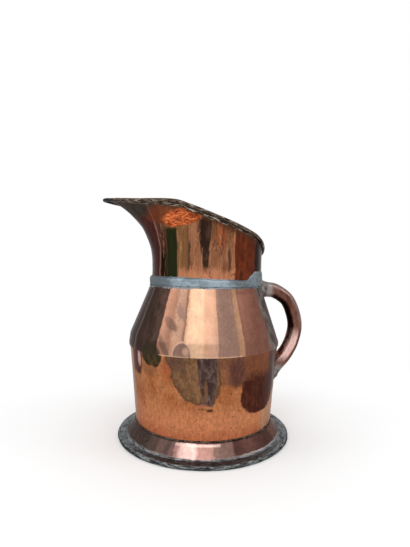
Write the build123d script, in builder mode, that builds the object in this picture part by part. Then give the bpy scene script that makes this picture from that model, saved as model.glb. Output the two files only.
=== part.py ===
from build123d import *
import os
from math import cos, hypot, radians, sin, sqrt, tan

# A one gallon jug of soft-soldered sheet copper: a tapered drum on a flared foot, an oblique
# shoulder cone, a helmet spout with a wired rim, and a hollow handle. Nothing on it moves.
# The origin is the centre of the foot on the ground, +Z is up, the spout points along -X
# and the handle along +X. All sizes are in millimetres.
os.makedirs("parts", exist_ok=True)

# Driving dimensions
sheet = 1.0
film = 0.02

foot_radius = 113.6
foot_wire_radius = 1.75
foot_flat_depth = 0.3
flange_inner_radius = 102.0
skirt_lap_height = 30.1
joint_height = 23.3

skirt_bend = 2.5
curl_turn = 255
foot_bead_reach = 1.1
foot_bead_rise = 1.0
base_flange_depth = 6.0
base_bend = 2.0
base_fillet = 4.0
shoulder_fillet = 3.6

drum_foot_radius = 90.2
drum_top_radius = 98.4
shoulder_height = 123.7
shoulder_lip = 3.0

neck_radius = 73.9
neck_height = 197.4
neck_shift = 1.6
belly_radius = 97.2
belly_height = 135.1
belly_shift = -1.0
lip_radius = 74.4
lip_bend_height = 201.0
lip_height = 202.9
collar_shift = 2.8

side_fullness = 0.525
rim_wire_radius = 1.5
rim_stand_off = 2.2
rim_nose_radius = 4.0

lap_width = 12.0
lap_ramp = 6.0
seam_solder_width = 4.5
lower_seam_top = 64.1
upper_seam_foot = 100.1
shoulder_seam_top = 176.1
patch_half_angle = 60

# The helmet spout, section by section: height, reach from the neck's centre to the nose,
# half width across, and the radius of the nose
helmet_sections = [
    (201.6, 72.9, 72.9, 72.0),
    (212.1, 72.9, 72.9, 70.0),
    (222.1, 72.9, 73.4, 65.0),
    (234.1, 73.4, 73.6, 57.0),
    (246.1, 75.3, 74.0, 47.0),
    (260.1, 80.2, 74.8, 35.5),
    (272.1, 86.2, 75.6, 26.7),
    (283.1, 95.4, 76.3, 18.5),
    (292.1, 105.2, 76.6, 12.3),
    (300.1, 117.8, 76.8, 7.6),
    (306.1, 133.5, 76.8, 5.2),
    (311.1, 147.0, 76.8, 4.0),
]

# The rim seen from the side, from beyond the nose to beyond the back. Each point has the
# height of the wire's centre, and how much higher or lower the sheet is cut there
rim_profile = [
    (-150.0, 307.6, 0.4),
    (-118.0, 304.1, 0.3),
    (-87.0, 301.4, 0.2),
    (-59.0, 300.2, 0.0),
    (-44.0, 298.7, 0.0),
    (-31.0, 294.0, -0.2),
    (0.0, 281.7, -0.4),
    (34.5, 268.9, -0.4),
    (56.0, 260.3, -0.4),
    (69.0, 251.3, -0.4),
    (75.0, 243.4, -0.4),
    (77.7, 235.1, -0.4),
    (79.0, 227.6, -0.4),
    (80.5, 217.1, -0.4),
    (83.0, 200.1, -0.4),
]

# Where the rolled edge turns, as shares of the way along the rim from the nose to the back
rim_turns = [0.0, 0.07, 0.16, 0.26, 0.36, 0.46, 0.55, 0.64, 0.73, 0.81, 0.88, 0.94, 1.0]

# The outside of the solder band round the neck: radius and height, from its foot up
band_section = [(74.0, 194.9), (75.4, 196.9), (75.3, 201.1), (74.6, 205.1), (71.9, 208.6)]
band_inner_radius = 71.2

# The section of the patch of solder on the back of the spout: radius and height
patch_section = [(71.5, 206.1), (73.9, 206.1), (73.6, 214.1), (73.0, 220.6), (71.5, 220.6)]

# The upper edge of the solder wiped over the spout's seam, seen from behind
patch_edge = [(-70.0, 205.1), (-52.0, 211.6), (-24.0, 217.6), (8.0, 219.6), (40.0, 214.1), (70.0, 205.1)]

# The handle's centre line in the plane of symmetry, with the tube's radius at each point
handle_line = [
    (66.0, 0.0, 191.6),
    (84.0, 0.0, 191.3),
    (101.0, 0.0, 188.3),
    (119.4, 0.0, 174.1),
    (129.4, 0.0, 146.1),
    (126.8, 0.0, 123.6),
    (117.0, 0.0, 103.6),
    (101.0, 0.0, 85.6),
    (84.0, 0.0, 69.1),
]
handle_radii = [(0.0, 11.0), (0.4, 10.0), (1.0, 10.9)]


def drum_radius(height):
    """Outer radius of the tapered drum at a height."""
    share = (height - joint_height) / (shoulder_height - joint_height)
    return drum_foot_radius + share * (drum_top_radius - drum_foot_radius)


def drum_bore(height):
    """Inner radius of the drum at a height."""
    return drum_radius(height) - sheet


def lapped_outline(radius, centre, height):
    """A rolled sheet in plan: round the wall, up the step of the lap, over it and down a ramp."""
    top = radius + sheet
    step = -lap_width / 2 / radius
    crest = lap_width / 2 / radius
    foot = crest + lap_ramp / radius

    def at(distance, angle):
        return distance * cos(angle), distance * sin(angle)

    with BuildSketch(Plane((centre, 0, height))) as outline:
        with BuildLine():
            Line(at(radius, step), at(top, step))
            ThreePointArc(at(top, step), (top, 0), at(top, crest))
            Line(at(top, crest), at(radius, foot))
            ThreePointArc(at(radius, foot), (-radius, 0), at(radius, step))
        make_face()
    return outline.sketch


def disc(radius, centre, height):
    """A round section at a height."""
    with BuildSketch(Plane((centre, 0, height))) as section:
        Circle(radius)
    return section.sketch


def seam_outline(radius, centre, height):
    """The fillet of solder beside the step of a lap, in plan, from inside the wall outwards."""
    buried = radius - sheet / 2
    step = -lap_width / 2 / radius
    middle = step - 0.35 * seam_solder_width / radius
    toe = step - seam_solder_width / radius

    def at(distance, angle):
        return distance * cos(angle), distance * sin(angle)

    with BuildSketch(Plane((centre, 0, height))) as outline:
        with BuildLine():
            Polyline(
                at(buried, 0.99 * toe),
                at(radius + film, toe),
                at(radius + 0.3 * sheet, middle),
                at(radius + 0.85 * sheet, 0.97 * step),
                at(buried, 0.9 * step),
                close=True,
            )
        make_face()
    return outline.sketch


# The outside of the body as solids, for shaping the walls and fitting the handle to them
cone_foot = drum_radius(shoulder_height) + film + sheet
lip_bottom = shoulder_height - shoulder_lip
lip_foot = drum_radius(lip_bottom) + film + sheet
with BuildPart() as drum_core:
    loft(
        sections=[
            lapped_outline(drum_radius(joint_height), 0, joint_height),
            lapped_outline(drum_radius(shoulder_height), 0, shoulder_height),
        ],
        ruled=True,
    )
with BuildPart() as cone_core:
    loft(
        sections=[
            lapped_outline(lip_foot, 0, lip_bottom),
            lapped_outline(cone_foot, 0, shoulder_height),
            lapped_outline(belly_radius, belly_shift, belly_height),
            lapped_outline(neck_radius, neck_shift, neck_height),
        ],
        ruled=True,
    )
with BuildPart() as lip_core:
    loft(
        sections=[
            disc(neck_radius, neck_shift, neck_height),
            disc(lip_radius, collar_shift, lip_bend_height),
            disc(lip_radius, collar_shift, lip_height),
        ],
        ruled=True,
    )

# Drum: one tapered sheet, rolled up and lapped under the handle
with BuildPart() as drum:
    add(drum_core)
    loft(
        sections=[
            disc(drum_bore(joint_height), 0, joint_height),
            disc(drum_bore(shoulder_height), 0, shoulder_height),
        ],
        ruled=True,
        mode=Mode.SUBTRACT,
    )


def helmet_skin(growth):
    """The helmet's surface as a solid, moved out or in by a thickness square to the sheet."""
    last = len(helmet_sections) - 1
    with BuildPart() as skin:
        for index, (height, reach, half_width, nose_radius) in enumerate(helmet_sections):
            low = helmet_sections[max(index - 1, 0)]
            high = helmet_sections[min(index + 1, last)]
            lean = (high[1] - low[1]) / (high[0] - low[0])
            front = reach + growth * hypot(1, lean)
            side = half_width + growth
            fullness = sqrt(2 / 3 * (1 - side_fullness) * front * (nose_radius + growth))
            with BuildSketch(Plane((collar_shift, 0, height))):
                with BuildLine():
                    Bezier((-front, 0), (-front, -fullness), (-side_fullness * front, -side), (0, -side))
                    ThreePointArc((0, -side), (side, 0), (0, side))
                    Bezier((0, side), (-side_fullness * front, side), (-front, fullness), (-front, 0))
                make_face()
        loft()
    return skin.part


# Shoulder: an oblique cone that laps over the drum, with a lip up round the foot of the spout
with BuildPart() as shoulder_cone:
    add(cone_core)
    add(lip_core)
    loft(
        sections=[
            disc(lip_foot - sheet, 0, lip_bottom),
            disc(cone_foot - sheet, 0, shoulder_height),
            disc(belly_radius - sheet, belly_shift, belly_height),
            disc(neck_radius - sheet, neck_shift, neck_height),
            disc(lip_radius - sheet, collar_shift, lip_bend_height),
            disc(lip_radius - sheet, collar_shift, lip_height),
        ],
        ruled=True,
        mode=Mode.SUBTRACT,
    )
    add(drum, mode=Mode.SUBTRACT)

# Foot: a skirt with a collar up inside the drum, a flare, a flange and a curl round a wire
curl_centre = (foot_radius - foot_wire_radius - sheet, foot_wire_radius + sheet - foot_flat_depth)
curl_radius = foot_wire_radius + sheet / 2
flange_height = curl_centre[1] + curl_radius
with BuildPart() as foot_skirt:
    with BuildSketch(Plane.XZ):
        with BuildLine():
            flare = FilletPolyline(
                (drum_bore(skirt_lap_height) - sheet / 2 - film, skirt_lap_height),
                (drum_bore(joint_height - 1.0) - sheet / 2 - film, joint_height - 1.0),
                (flange_inner_radius, flange_height),
                (curl_centre[0], flange_height),
                radius=skirt_bend,
            )
            CenterArc(curl_centre, curl_radius, 90, -curl_turn)
        trace(line_width=sheet)
    revolve(axis=Axis.Z)
    with BuildSketch(Plane.XY):
        Circle(foot_radius + sheet)
    extrude(amount=-sheet, mode=Mode.SUBTRACT)

with BuildPart() as foot_wire:
    with BuildSketch(Plane.XZ):
        with Locations(curl_centre):
            Circle(foot_wire_radius)
    revolve(axis=Axis.Z)

# Base: a flat disc with its edge turned down inside the skirt's collar
base_top = skirt_lap_height + sheet
base_inset = 1.5 * sheet + 2 * film
with BuildPart() as base_plate:
    with BuildSketch(Plane.XZ):
        with BuildLine():
            FilletPolyline(
                (0, base_top - sheet / 2),
                (drum_bore(base_top - sheet / 2) - base_inset, base_top - sheet / 2),
                (drum_bore(base_top - base_flange_depth) - base_inset, base_top - base_flange_depth),
                radius=base_bend,
            )
        trace(line_width=sheet)
    revolve(axis=Axis.Z)

# Solder inside the drum, round the base and behind the shoulder's edge
with BuildPart() as base_solder:
    with BuildSketch(Plane.XZ):
        with BuildLine():
            wall = Line(
                (drum_bore(skirt_lap_height), skirt_lap_height),
                (drum_bore(base_top + base_fillet), base_top + base_fillet),
            )
            hollow = ThreePointArc(
                wall @ 1,
                (drum_bore(base_top) - 0.3 * base_fillet, base_top + 0.3 * base_fillet),
                (drum_bore(base_top) - 1.5 * base_fillet, base_top),
            )
            Polyline(hollow @ 1, (drum_bore(base_top) - 1.5 * base_fillet, skirt_lap_height), wall @ 0)
        make_face()
    revolve(axis=Axis.Z)
    add(base_plate, mode=Mode.SUBTRACT)
    add(foot_skirt, mode=Mode.SUBTRACT)

with BuildPart() as shoulder_solder:
    with BuildSketch(Plane.XZ):
        with BuildLine():
            Polyline(
                (drum_bore(shoulder_height - shoulder_fillet), shoulder_height - shoulder_fillet),
                (drum_radius(shoulder_height), shoulder_height + film),
                (drum_bore(shoulder_height) - 0.8, shoulder_height + 1.5 * shoulder_fillet),
                close=True,
            )
        make_face()
    revolve(axis=Axis.Z)
    add(drum, mode=Mode.SUBTRACT)
    add(shoulder_cone, mode=Mode.SUBTRACT)

# Solder run into the groove where the drum stands on the skirt
with BuildPart() as foot_solder:
    edge_radius = drum_radius(joint_height)
    with BuildSketch(Plane.XZ):
        with BuildLine():
            bead = ThreePointArc(
                (edge_radius - 0.3 * sheet, joint_height + foot_bead_rise),
                (edge_radius + foot_bead_reach, joint_height - 0.6 * foot_bead_rise),
                (edge_radius + foot_bead_reach, joint_height - 4.1 * foot_bead_rise),
            )
            Polyline(
                bead @ 1,
                (edge_radius - 0.9 * sheet, joint_height - 1.6 * foot_bead_rise),
                (edge_radius - 0.75 * sheet, joint_height + 0.4 * foot_bead_rise),
                bead @ 0,
            )
        make_face()
    revolve(axis=Axis.Z)
    add(drum, mode=Mode.SUBTRACT)
    add(foot_skirt, mode=Mode.SUBTRACT)


def above_rim(rising):
    """The region over the rim as seen from the side, for the wire's centre or for the sheet."""
    with BuildSketch(Plane.XZ) as region:
        with BuildLine():
            edge = Spline(*[(x, z + (rise if rising else 0)) for x, z, rise in rim_profile])
            Polyline(edge @ 1, (200, (edge @ 1).Y), (200, 400), ((edge @ 0).X, 400), edge @ 0)
        make_face()
    return region.sketch


# The rim's line on the near side, traced on a surface that stands off the sheet
with BuildPart() as rim_guide:
    add(helmet_skin(rim_stand_off))
    extrude(above_rim(False), amount=150, both=True, mode=Mode.SUBTRACT)
rim_face = rim_guide.faces().filter_by(GeomType.EXTRUSION).sort_by(Axis.Y)[0]
rim_line = Wire(rim_face.edges().filter_by(lambda edge: edge.center().Y < -0.5))

# The wire's path: short straight runs joined by arcs as large as the runs allow
near_turns = [rim_line @ share for share in rim_turns]
far_turns = [Vector(turn.X, -turn.Y, turn.Z) for turn in reversed(near_turns[1:-1])]
turns = near_turns + far_turns
turn_radii = []
for index, here in enumerate(turns):
    into = here - turns[index - 1]
    out = turns[(index + 1) % len(turns)] - here
    largest = 0.48 * min(into.length, out.length) / tan(radians(into.get_angle(out)) / 2)
    turn_radii.append(rim_nose_radius if index == 0 else largest)
with BuildLine() as rim_path:
    FilletPolyline(*turns, radius=turn_radii, close=True)


def rim_tube(radius):
    """A round bar along the rim."""
    start = rim_path.edges()[0]
    with BuildPart() as tube:
        with BuildLine():
            add(rim_path)
        with BuildSketch(Plane(start @ 0, z_dir=start % 0)):
            Circle(radius)
        sweep()
    return tube.part


with BuildPart() as rim_wire:
    add(rim_tube(rim_wire_radius))

# Spout: the helmet, let into the shoulder's lip, with its edge rolled round the wire
helmet_core = helmet_skin(0)
with BuildPart() as spout_collar:
    add(helmet_core)
    add(helmet_skin(-sheet), mode=Mode.SUBTRACT)
    extrude(above_rim(True), amount=150, both=True, mode=Mode.SUBTRACT)
    add(rim_tube(rim_wire_radius + sheet))
    add(rim_wire, mode=Mode.SUBTRACT)

# Solder wiped round the neck, and the patch of it over the spout's seam at the back
band_shift = (neck_shift + collar_shift) / 2
band_axis = Axis((band_shift, 0, 0), (0, 0, 1))
with BuildPart() as neck_solder:
    with BuildSketch(Plane((band_shift, 0, 0), x_dir=(1, 0, 0), z_dir=(0, -1, 0))):
        with BuildLine():
            crest = Spline(*band_section)
            Polyline(
                crest @ 1,
                (band_inner_radius, (crest @ 1).Y),
                (band_inner_radius, (crest @ 0).Y),
                crest @ 0,
            )
        make_face()
    revolve(axis=band_axis)
    add(cone_core, mode=Mode.SUBTRACT)
    add(lip_core, mode=Mode.SUBTRACT)
    add(helmet_core, mode=Mode.SUBTRACT)

with BuildPart() as neck_patch_solder:
    start = radians(patch_half_angle)
    out = Vector(cos(start), -sin(start), 0)
    with BuildSketch(Plane((collar_shift, 0, 0), x_dir=out, z_dir=(-sin(start), -cos(start), 0))):
        with BuildLine():
            Polyline(*patch_section, close=True)
        make_face()
    revolve(axis=Axis((collar_shift, 0, 0), (0, 0, 1)), revolution_arc=2 * patch_half_angle)
    with BuildSketch(Plane.YZ):
        with BuildLine():
            wiped_edge = Spline(*patch_edge)
            Polyline(wiped_edge @ 1, (70, 260), (-70, 260), wiped_edge @ 0)
        make_face()
    extrude(amount=100, mode=Mode.SUBTRACT)
    add(helmet_core, mode=Mode.SUBTRACT)
    add(neck_solder, mode=Mode.SUBTRACT)


def handle_bar(inset):
    """The handle as a solid bar that tapers from its root to the grip and swells to its foot."""
    with BuildPart() as bar:
        with BuildLine() as line:
            centre = Spline(*handle_line)
        for share, radius in handle_radii:
            with BuildSketch(Plane(centre @ share, z_dir=centre % share)):
                Circle(radius - inset)
        sweep(path=centre, multisection=True)
    return bar.part


# Handle: a hollow tapered tube whose ends are cut to sit on the shoulder and the drum
with BuildPart() as handle:
    add(handle_bar(0))
    add(handle_bar(sheet), mode=Mode.SUBTRACT)
    add(cone_core, mode=Mode.SUBTRACT)
    add(drum_core, mode=Mode.SUBTRACT)
    add(lip_core, mode=Mode.SUBTRACT)
    add(helmet_core, mode=Mode.SUBTRACT)
    add(neck_solder, mode=Mode.SUBTRACT)

# Solder drawn round the handle's two ends
def root_fillet(root, away, handle_radius, spread, reach):
    """A flared collar of solder round the handle, from inside the wall out along the handle."""
    slope = Plane(origin=root, x_dir=away, z_dir=Vector(0, -1, 0))
    with BuildPart() as collar:
        with BuildSketch(slope):
            with BuildLine():
                Polyline((-12, 0), (-12, handle_radius + spread), (-2, handle_radius + spread))
                ThreePointArc(
                    (-2, handle_radius + spread),
                    (0.3 * reach, handle_radius + 0.35 * spread),
                    (reach, handle_radius),
                )
                Polyline((reach, handle_radius), (reach, 0), (-12, 0))
            make_face()
        revolve(axis=Axis(root, away))
        add(handle_bar(0), mode=Mode.SUBTRACT)
        add(cone_core, mode=Mode.SUBTRACT)
        add(drum_core, mode=Mode.SUBTRACT)
        add(lip_core, mode=Mode.SUBTRACT)
        add(helmet_core, mode=Mode.SUBTRACT)
        add(neck_solder, mode=Mode.SUBTRACT)
        add(neck_patch_solder, mode=Mode.SUBTRACT)
    return collar.part


with BuildPart() as handle_top_solder:
    add(root_fillet((80.0, 0, 191.4), (1, 0, 0), 10.5, 4.0, 8.0))

with BuildPart() as handle_bottom_solder:
    add(root_fillet((96.0, 0, 80.7), (17, 0, 16.5), 10.4, 2.5, 9.0))

# Solder along the step of each lap, from the foot to the shoulder and on to the neck
with BuildPart() as lower_seam_solder:
    loft(
        sections=[
            seam_outline(drum_radius(joint_height), 0, joint_height),
            seam_outline(drum_radius(lower_seam_top), 0, lower_seam_top),
        ],
        ruled=True,
    )
    add(drum, mode=Mode.SUBTRACT)
    add(foot_solder, mode=Mode.SUBTRACT)

with BuildPart() as upper_seam_solder:
    loft(
        sections=[
            seam_outline(drum_radius(upper_seam_foot), 0, upper_seam_foot),
            seam_outline(drum_radius(shoulder_height), 0, shoulder_height),
        ],
        ruled=True,
    )
    add(drum, mode=Mode.SUBTRACT)
    add(shoulder_cone, mode=Mode.SUBTRACT)

with BuildPart() as shoulder_seam_solder:
    share = (shoulder_seam_top - belly_height) / (neck_height - belly_height)
    seam_top_radius = belly_radius + share * (neck_radius - belly_radius)
    seam_top_shift = belly_shift + share * (neck_shift - belly_shift)
    loft(
        sections=[
            seam_outline(lip_foot, 0, lip_bottom),
            seam_outline(cone_foot, 0, shoulder_height),
            seam_outline(belly_radius, belly_shift, belly_height),
            seam_outline(seam_top_radius, seam_top_shift, shoulder_seam_top),
        ],
        ruled=True,
    )
    add(shoulder_cone, mode=Mode.SUBTRACT)
    add(drum, mode=Mode.SUBTRACT)

# Each piece is its own labelled solid in its own file
drum.part.label = "drum"
shoulder_cone.part.label = "shoulder_cone"
foot_skirt.part.label = "foot_skirt"
foot_wire.part.label = "foot_wire"
base_plate.part.label = "base_plate"
base_solder.part.label = "base_solder"
shoulder_solder.part.label = "shoulder_solder"
foot_solder.part.label = "foot_solder"
rim_wire.part.label = "rim_wire"
spout_collar.part.label = "spout_collar"
neck_solder.part.label = "neck_solder"
neck_patch_solder.part.label = "neck_patch_solder"
handle.part.label = "handle"
handle_top_solder.part.label = "handle_top_solder"
handle_bottom_solder.part.label = "handle_bottom_solder"
lower_seam_solder.part.label = "lower_seam_solder"
upper_seam_solder.part.label = "upper_seam_solder"
shoulder_seam_solder.part.label = "shoulder_seam_solder"
export_step(drum.part, "parts/drum.step")
export_step(shoulder_cone.part, "parts/shoulder_cone.step")
export_step(foot_skirt.part, "parts/foot_skirt.step")
export_step(foot_wire.part, "parts/foot_wire.step")
export_step(base_plate.part, "parts/base_plate.step")
export_step(base_solder.part, "parts/base_solder.step")
export_step(shoulder_solder.part, "parts/shoulder_solder.step")
export_step(foot_solder.part, "parts/foot_solder.step")
export_step(rim_wire.part, "parts/rim_wire.step")
export_step(spout_collar.part, "parts/spout_collar.step")
export_step(neck_solder.part, "parts/neck_solder.step")
export_step(neck_patch_solder.part, "parts/neck_patch_solder.step")
export_step(handle.part, "parts/handle.step")
export_step(handle_top_solder.part, "parts/handle_top_solder.step")
export_step(handle_bottom_solder.part, "parts/handle_bottom_solder.step")
export_step(lower_seam_solder.part, "parts/lower_seam_solder.step")
export_step(upper_seam_solder.part, "parts/upper_seam_solder.step")
export_step(shoulder_seam_solder.part, "parts/shoulder_seam_solder.step")
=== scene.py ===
from math import atan, cos, degrees, hypot, pi, radians, sin, sqrt

import bmesh
import bpy
from mathutils import Matrix, Vector, noise


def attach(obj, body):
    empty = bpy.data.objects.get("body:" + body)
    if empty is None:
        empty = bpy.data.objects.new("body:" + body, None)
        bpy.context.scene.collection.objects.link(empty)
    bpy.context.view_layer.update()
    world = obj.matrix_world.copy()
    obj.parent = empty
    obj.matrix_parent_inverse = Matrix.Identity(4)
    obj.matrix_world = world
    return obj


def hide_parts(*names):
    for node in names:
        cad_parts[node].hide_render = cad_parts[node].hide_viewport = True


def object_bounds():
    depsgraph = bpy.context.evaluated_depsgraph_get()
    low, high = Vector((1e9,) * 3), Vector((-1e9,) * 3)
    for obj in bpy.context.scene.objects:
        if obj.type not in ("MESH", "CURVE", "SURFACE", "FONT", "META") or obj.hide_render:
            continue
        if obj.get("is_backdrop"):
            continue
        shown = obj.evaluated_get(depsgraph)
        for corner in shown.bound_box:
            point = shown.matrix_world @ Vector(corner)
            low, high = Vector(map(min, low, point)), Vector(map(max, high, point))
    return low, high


# An old one gallon copper jug on a pale floor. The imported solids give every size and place.
# Lengths are written in millimetres, as the coppersmith would, and turned to metres on a mesh.
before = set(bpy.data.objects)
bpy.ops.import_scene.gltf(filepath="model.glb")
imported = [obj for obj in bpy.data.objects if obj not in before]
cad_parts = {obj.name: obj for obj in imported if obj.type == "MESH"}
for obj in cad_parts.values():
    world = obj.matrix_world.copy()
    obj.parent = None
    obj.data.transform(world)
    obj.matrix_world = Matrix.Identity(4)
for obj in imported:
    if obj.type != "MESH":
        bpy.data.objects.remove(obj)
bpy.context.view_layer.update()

MM = 0.001
SHEET = 1.0
LAP_WIDTH = 12.0
LAP_RAMP = 6.0

# Heights and outer radii of the body, with how far its centre has moved towards the handle
DRUM_FOOT = 23.3
DRUM_TOP = 123.7
DRUM_WALL = [(DRUM_FOOT, 90.2), (DRUM_TOP, 98.4)]
DRUM_SHIFT = [(DRUM_FOOT, 0.0), (DRUM_TOP, 0.0)]
CONE_WALL = [(120.7, 99.18), (123.7, 99.42), (135.1, 97.2), (197.4, 73.9), (201.0, 74.4), (202.9, 74.4)]
CONE_SHIFT = [(120.7, 0.0), (123.7, 0.0), (135.1, -1.0), (197.4, 1.6), (201.0, 2.8), (202.9, 2.8)]

# The band of solder round the neck: its edges at the handle, its centre, its skin and how far it swells
BAND_FOOT = 197.0
BAND_TOP = 204.6
BAND_SHIFT = 2.2
BAND_OUTSIDE = 72.6
BAND_INSIDE = 71.8
BAND_SWELL = 2.1
BAND_CROWN = 0.6
BAND_REACH = 75.3

# The patch of solder above it at the back
PATCH_FOOT = BAND_TOP
PATCH_OUTSIDE = 73.0
PATCH_INSIDE = 72.5
PATCH_HALF_ANGLE = 65

# The helmet spout's sections: height, reach to the nose, half width and the nose's radius
COLLAR_SHIFT = 2.8
COLLAR_FOOT = 201.6
HELMET = [
    (COLLAR_FOOT, 72.9, 72.9, 72.0),
    (212.1, 72.9, 72.9, 70.0),
    (222.1, 72.9, 73.4, 65.0),
    (234.1, 73.4, 73.6, 57.0),
    (246.1, 75.3, 74.0, 47.0),
    (260.1, 80.2, 74.8, 35.5),
    (272.1, 86.2, 75.6, 26.7),
    (283.1, 95.4, 76.3, 18.5),
    (292.3, 105.2, 76.6, 12.3),
    (300.9, 117.8, 76.8, 7.6),
    (306.8, 133.5, 76.8, 5.2),
    (311.8, 147.0, 76.8, 4.0),
]
FRONT_LINE, SIDE_LINE, NOSE_LINE = ([(row[0], row[part]) for row in HELMET] for part in (1, 2, 3))
SIDE_FULLNESS = 0.525

# The rim seen from the side: how far along, and the height of the wire's centre
RIM = [
    (-150.0, 308.4), (-118.0, 305.0), (-87.0, 302.2), (-59.0, 300.6), (-44.0, 298.7),
    (-31.0, 294.0), (0.0, 281.7), (34.5, 268.9), (56.0, 260.3), (69.0, 251.3),
    (75.0, 243.4), (77.7, 235.1), (79.0, 227.6), (80.5, 217.1), (83.0, 200.1),
]
RIM_WIRE = 1.45
RIM_ROLL = 2.4
RIM_STAND = 0.9
ROLL_SIDES = 14

# The foot's centre line before it is bent, and the curl round its wire
FOOT_LINE = [(89.24, 30.1), (88.6, 22.3), (102.0, 4.7), (110.85, 4.7)]
FOOT_BEND = 2.5
CURL_CENTRE = (110.85, 2.45)
CURL_RADIUS = 2.25
CURL_TURN = 255

# The handle's centre line in the plane of symmetry, and its radius along it
HANDLE = [
    (66.0, 191.6), (84.0, 191.3), (101.0, 188.3), (119.2, 174.1), (129.0, 146.1),
    (126.4, 123.6), (116.8, 103.6), (101.0, 85.6), (84.0, 69.1),
]
HANDLE_RADII = [(0.0, 11.0), (0.4, 10.0), (1.0, 10.9)]


# Reading values along a line of points

def straight_through(points, at):
    """The value at a place on the straight runs between points, each a place and a value."""
    for (start, first), (end, last) in zip(points, points[1:]):
        if at <= end:
            break
    share = min(max((at - start) / (end - start), 0), 1)
    return first + share * (last - first)


def softened(points, at, softness):
    """The same, with the corners between the runs eased over a little distance."""
    steps = (-1, -0.5, 0, 0.5, 1)
    return sum(straight_through(points, at + softness * step) for step in steps) / len(steps)


def curved_through(points, at):
    """The value at a place on a smooth curve through points, each a place and a value."""
    last = len(points) - 1
    run = 0
    while run < last - 1 and at > points[run + 1][0]:
        run += 1
    slopes = []
    for index in (run, run + 1):
        before, after = points[max(index - 1, 0)], points[min(index + 1, last)]
        slopes.append((after[1] - before[1]) / (after[0] - before[0]))
    (start, first), (end, final) = points[run], points[run + 1]
    span = end - start
    t = (at - start) / span
    return (
        first * (2 * t**3 - 3 * t**2 + 1)
        + slopes[0] * span * (t**3 - 2 * t**2 + t)
        + final * (3 * t**2 - 2 * t**3)
        + slopes[1] * span * (t**3 - t**2)
    )


def eased(low, high, at):
    """0 below low, 1 above high, and a smooth step between them."""
    t = min(max((at - low) / (high - low), 0), 1)
    return t * t * (3 - 2 * t)


def evenly(low, high, count):
    """Evenly spaced values from low to high."""
    return [low + (high - low) * index / (count - 1) for index in range(count)]


def turns_round(count):
    """Evenly spaced angles round a circle."""
    return [2 * pi * index / count for index in range(count)]


def lumps(x, y, z, size, seed=0.0):
    """Smooth noise from -1 to 1, whose bumps are about as wide as size."""
    return noise.noise(Vector((x / size + seed, y / size - seed, z / size + 2 * seed)))


# Meshes

def add_object(name, data):
    """A new object of the scene."""
    thing = bpy.data.objects.new(name, data)
    bpy.context.scene.collection.objects.link(thing)
    return thing


def new_piece(name, mesh, material_slots, replaced=None, sharp=40):
    """A mesh in metres made into a piece of the jug, smooth except at its sharp edges."""
    mesh.name = name
    for material in material_slots:
        mesh.materials.append(material)
    mesh.shade_smooth()
    mesh.set_sharp_from_angle(angle=radians(sharp))
    piece = add_object(name, mesh)
    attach(piece, "root")
    if replaced:
        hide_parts(replaced)


def modified(thing):
    """What an object's modifiers make of it, as a plain mesh. The object itself is removed."""
    shown = thing.evaluated_get(bpy.context.evaluated_depsgraph_get())
    mesh = bpy.data.meshes.new_from_object(shown)
    bpy.data.objects.remove(thing)
    return mesh


def mesh_of(faces_in):
    """A bmesh given as a finished mesh."""
    bmesh.ops.recalc_face_normals(faces_in, faces=faces_in.faces)
    mesh = bpy.data.meshes.new("sheet")
    faces_in.to_mesh(mesh)
    faces_in.free()
    return mesh


def add_loops(work, loops, paint=None, closed=True):
    """Joins loops of points into a skin, closed on itself or at its ends. Paint gives a face's finish."""
    rings = [[work.verts.new(Vector(point) * MM) for point in loop] for loop in loops]
    for ring, following in zip(rings, rings[1:] + (rings[:1] if closed else [])):
        for index in range(len(ring)):
            after = (index + 1) % len(ring)
            face = work.faces.new((ring[index], following[index], following[after], ring[after]))
            if paint:
                face.material_index = paint(index)
    if not closed:
        work.faces.new(rings[0][::-1])
        work.faces.new(rings[-1])


def skin_of(loops, **settings):
    """Loops of points made into a finished mesh."""
    work = bmesh.new()
    add_loops(work, loops, **settings)
    return mesh_of(work)


def keep_measure(mesh, name, values):
    """Keeps a number for each point of a mesh, for its finish to read."""
    mesh.attributes.new(name, "FLOAT", "POINT").data.foreach_set("value", values)


def lap_edges(reference):
    """Angles of a lap's step, of where it starts to thin, and of where it ends."""
    edges = (-LAP_WIDTH / 2, LAP_WIDTH / 2, LAP_WIDTH / 2 + LAP_RAMP)
    return [degrees(edge / reference) for edge in edges]


def seam_columns(count, reference):
    """Angles round a lapped sheet, with two at the step of the lap."""
    edges = lap_edges(reference)
    columns = [360 * index / count - 180 for index in range(count)]
    columns = [angle for angle in columns if min(abs(angle - edge) for edge in edges) > 0.4]
    return sorted(columns + [edges[0] - 0.02, edges[0] + 0.02] + edges[1:])


def lap_rise(angle, reference):
    """How far a lapped sheet stands over the one under it."""
    step, crest, foot = lap_edges(reference)
    if angle < step or angle >= foot:
        return 0.0
    return SHEET * min((foot - angle) / (foot - crest), 1)


def rolled_sheet(heights, wall, shift, softness, dent, lapped_to, columns=288):
    """A sheet rolled into a drum or cone and lapped at the back, with an inside and an outside."""
    reference = wall[len(wall) // 2][1]
    loops = []
    for column in seam_columns(columns, reference):
        outside, inside = [], []
        for height in heights:
            radius = softened(wall, height, softness)
            centre = softened(shift, height, softness)
            turned = column * (1 + (reference / radius - 1) * (1 - eased(9, 26, abs(column))))
            direction = (cos(radians(turned)), sin(radians(turned)))
            pushed = dent(radius * direction[0], radius * direction[1], height)
            rise = lap_rise(column, reference) if height <= lapped_to else 0
            for side, distance in ((outside, radius + rise - pushed), (inside, radius - SHEET - pushed)):
                side.append((centre + distance * direction[0], distance * direction[1], height))
        loops.append(outside + inside[::-1])
    return skin_of(loops, paint=lambda index: 0 if index < len(heights) else 1)


# The helmet spout

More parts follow.
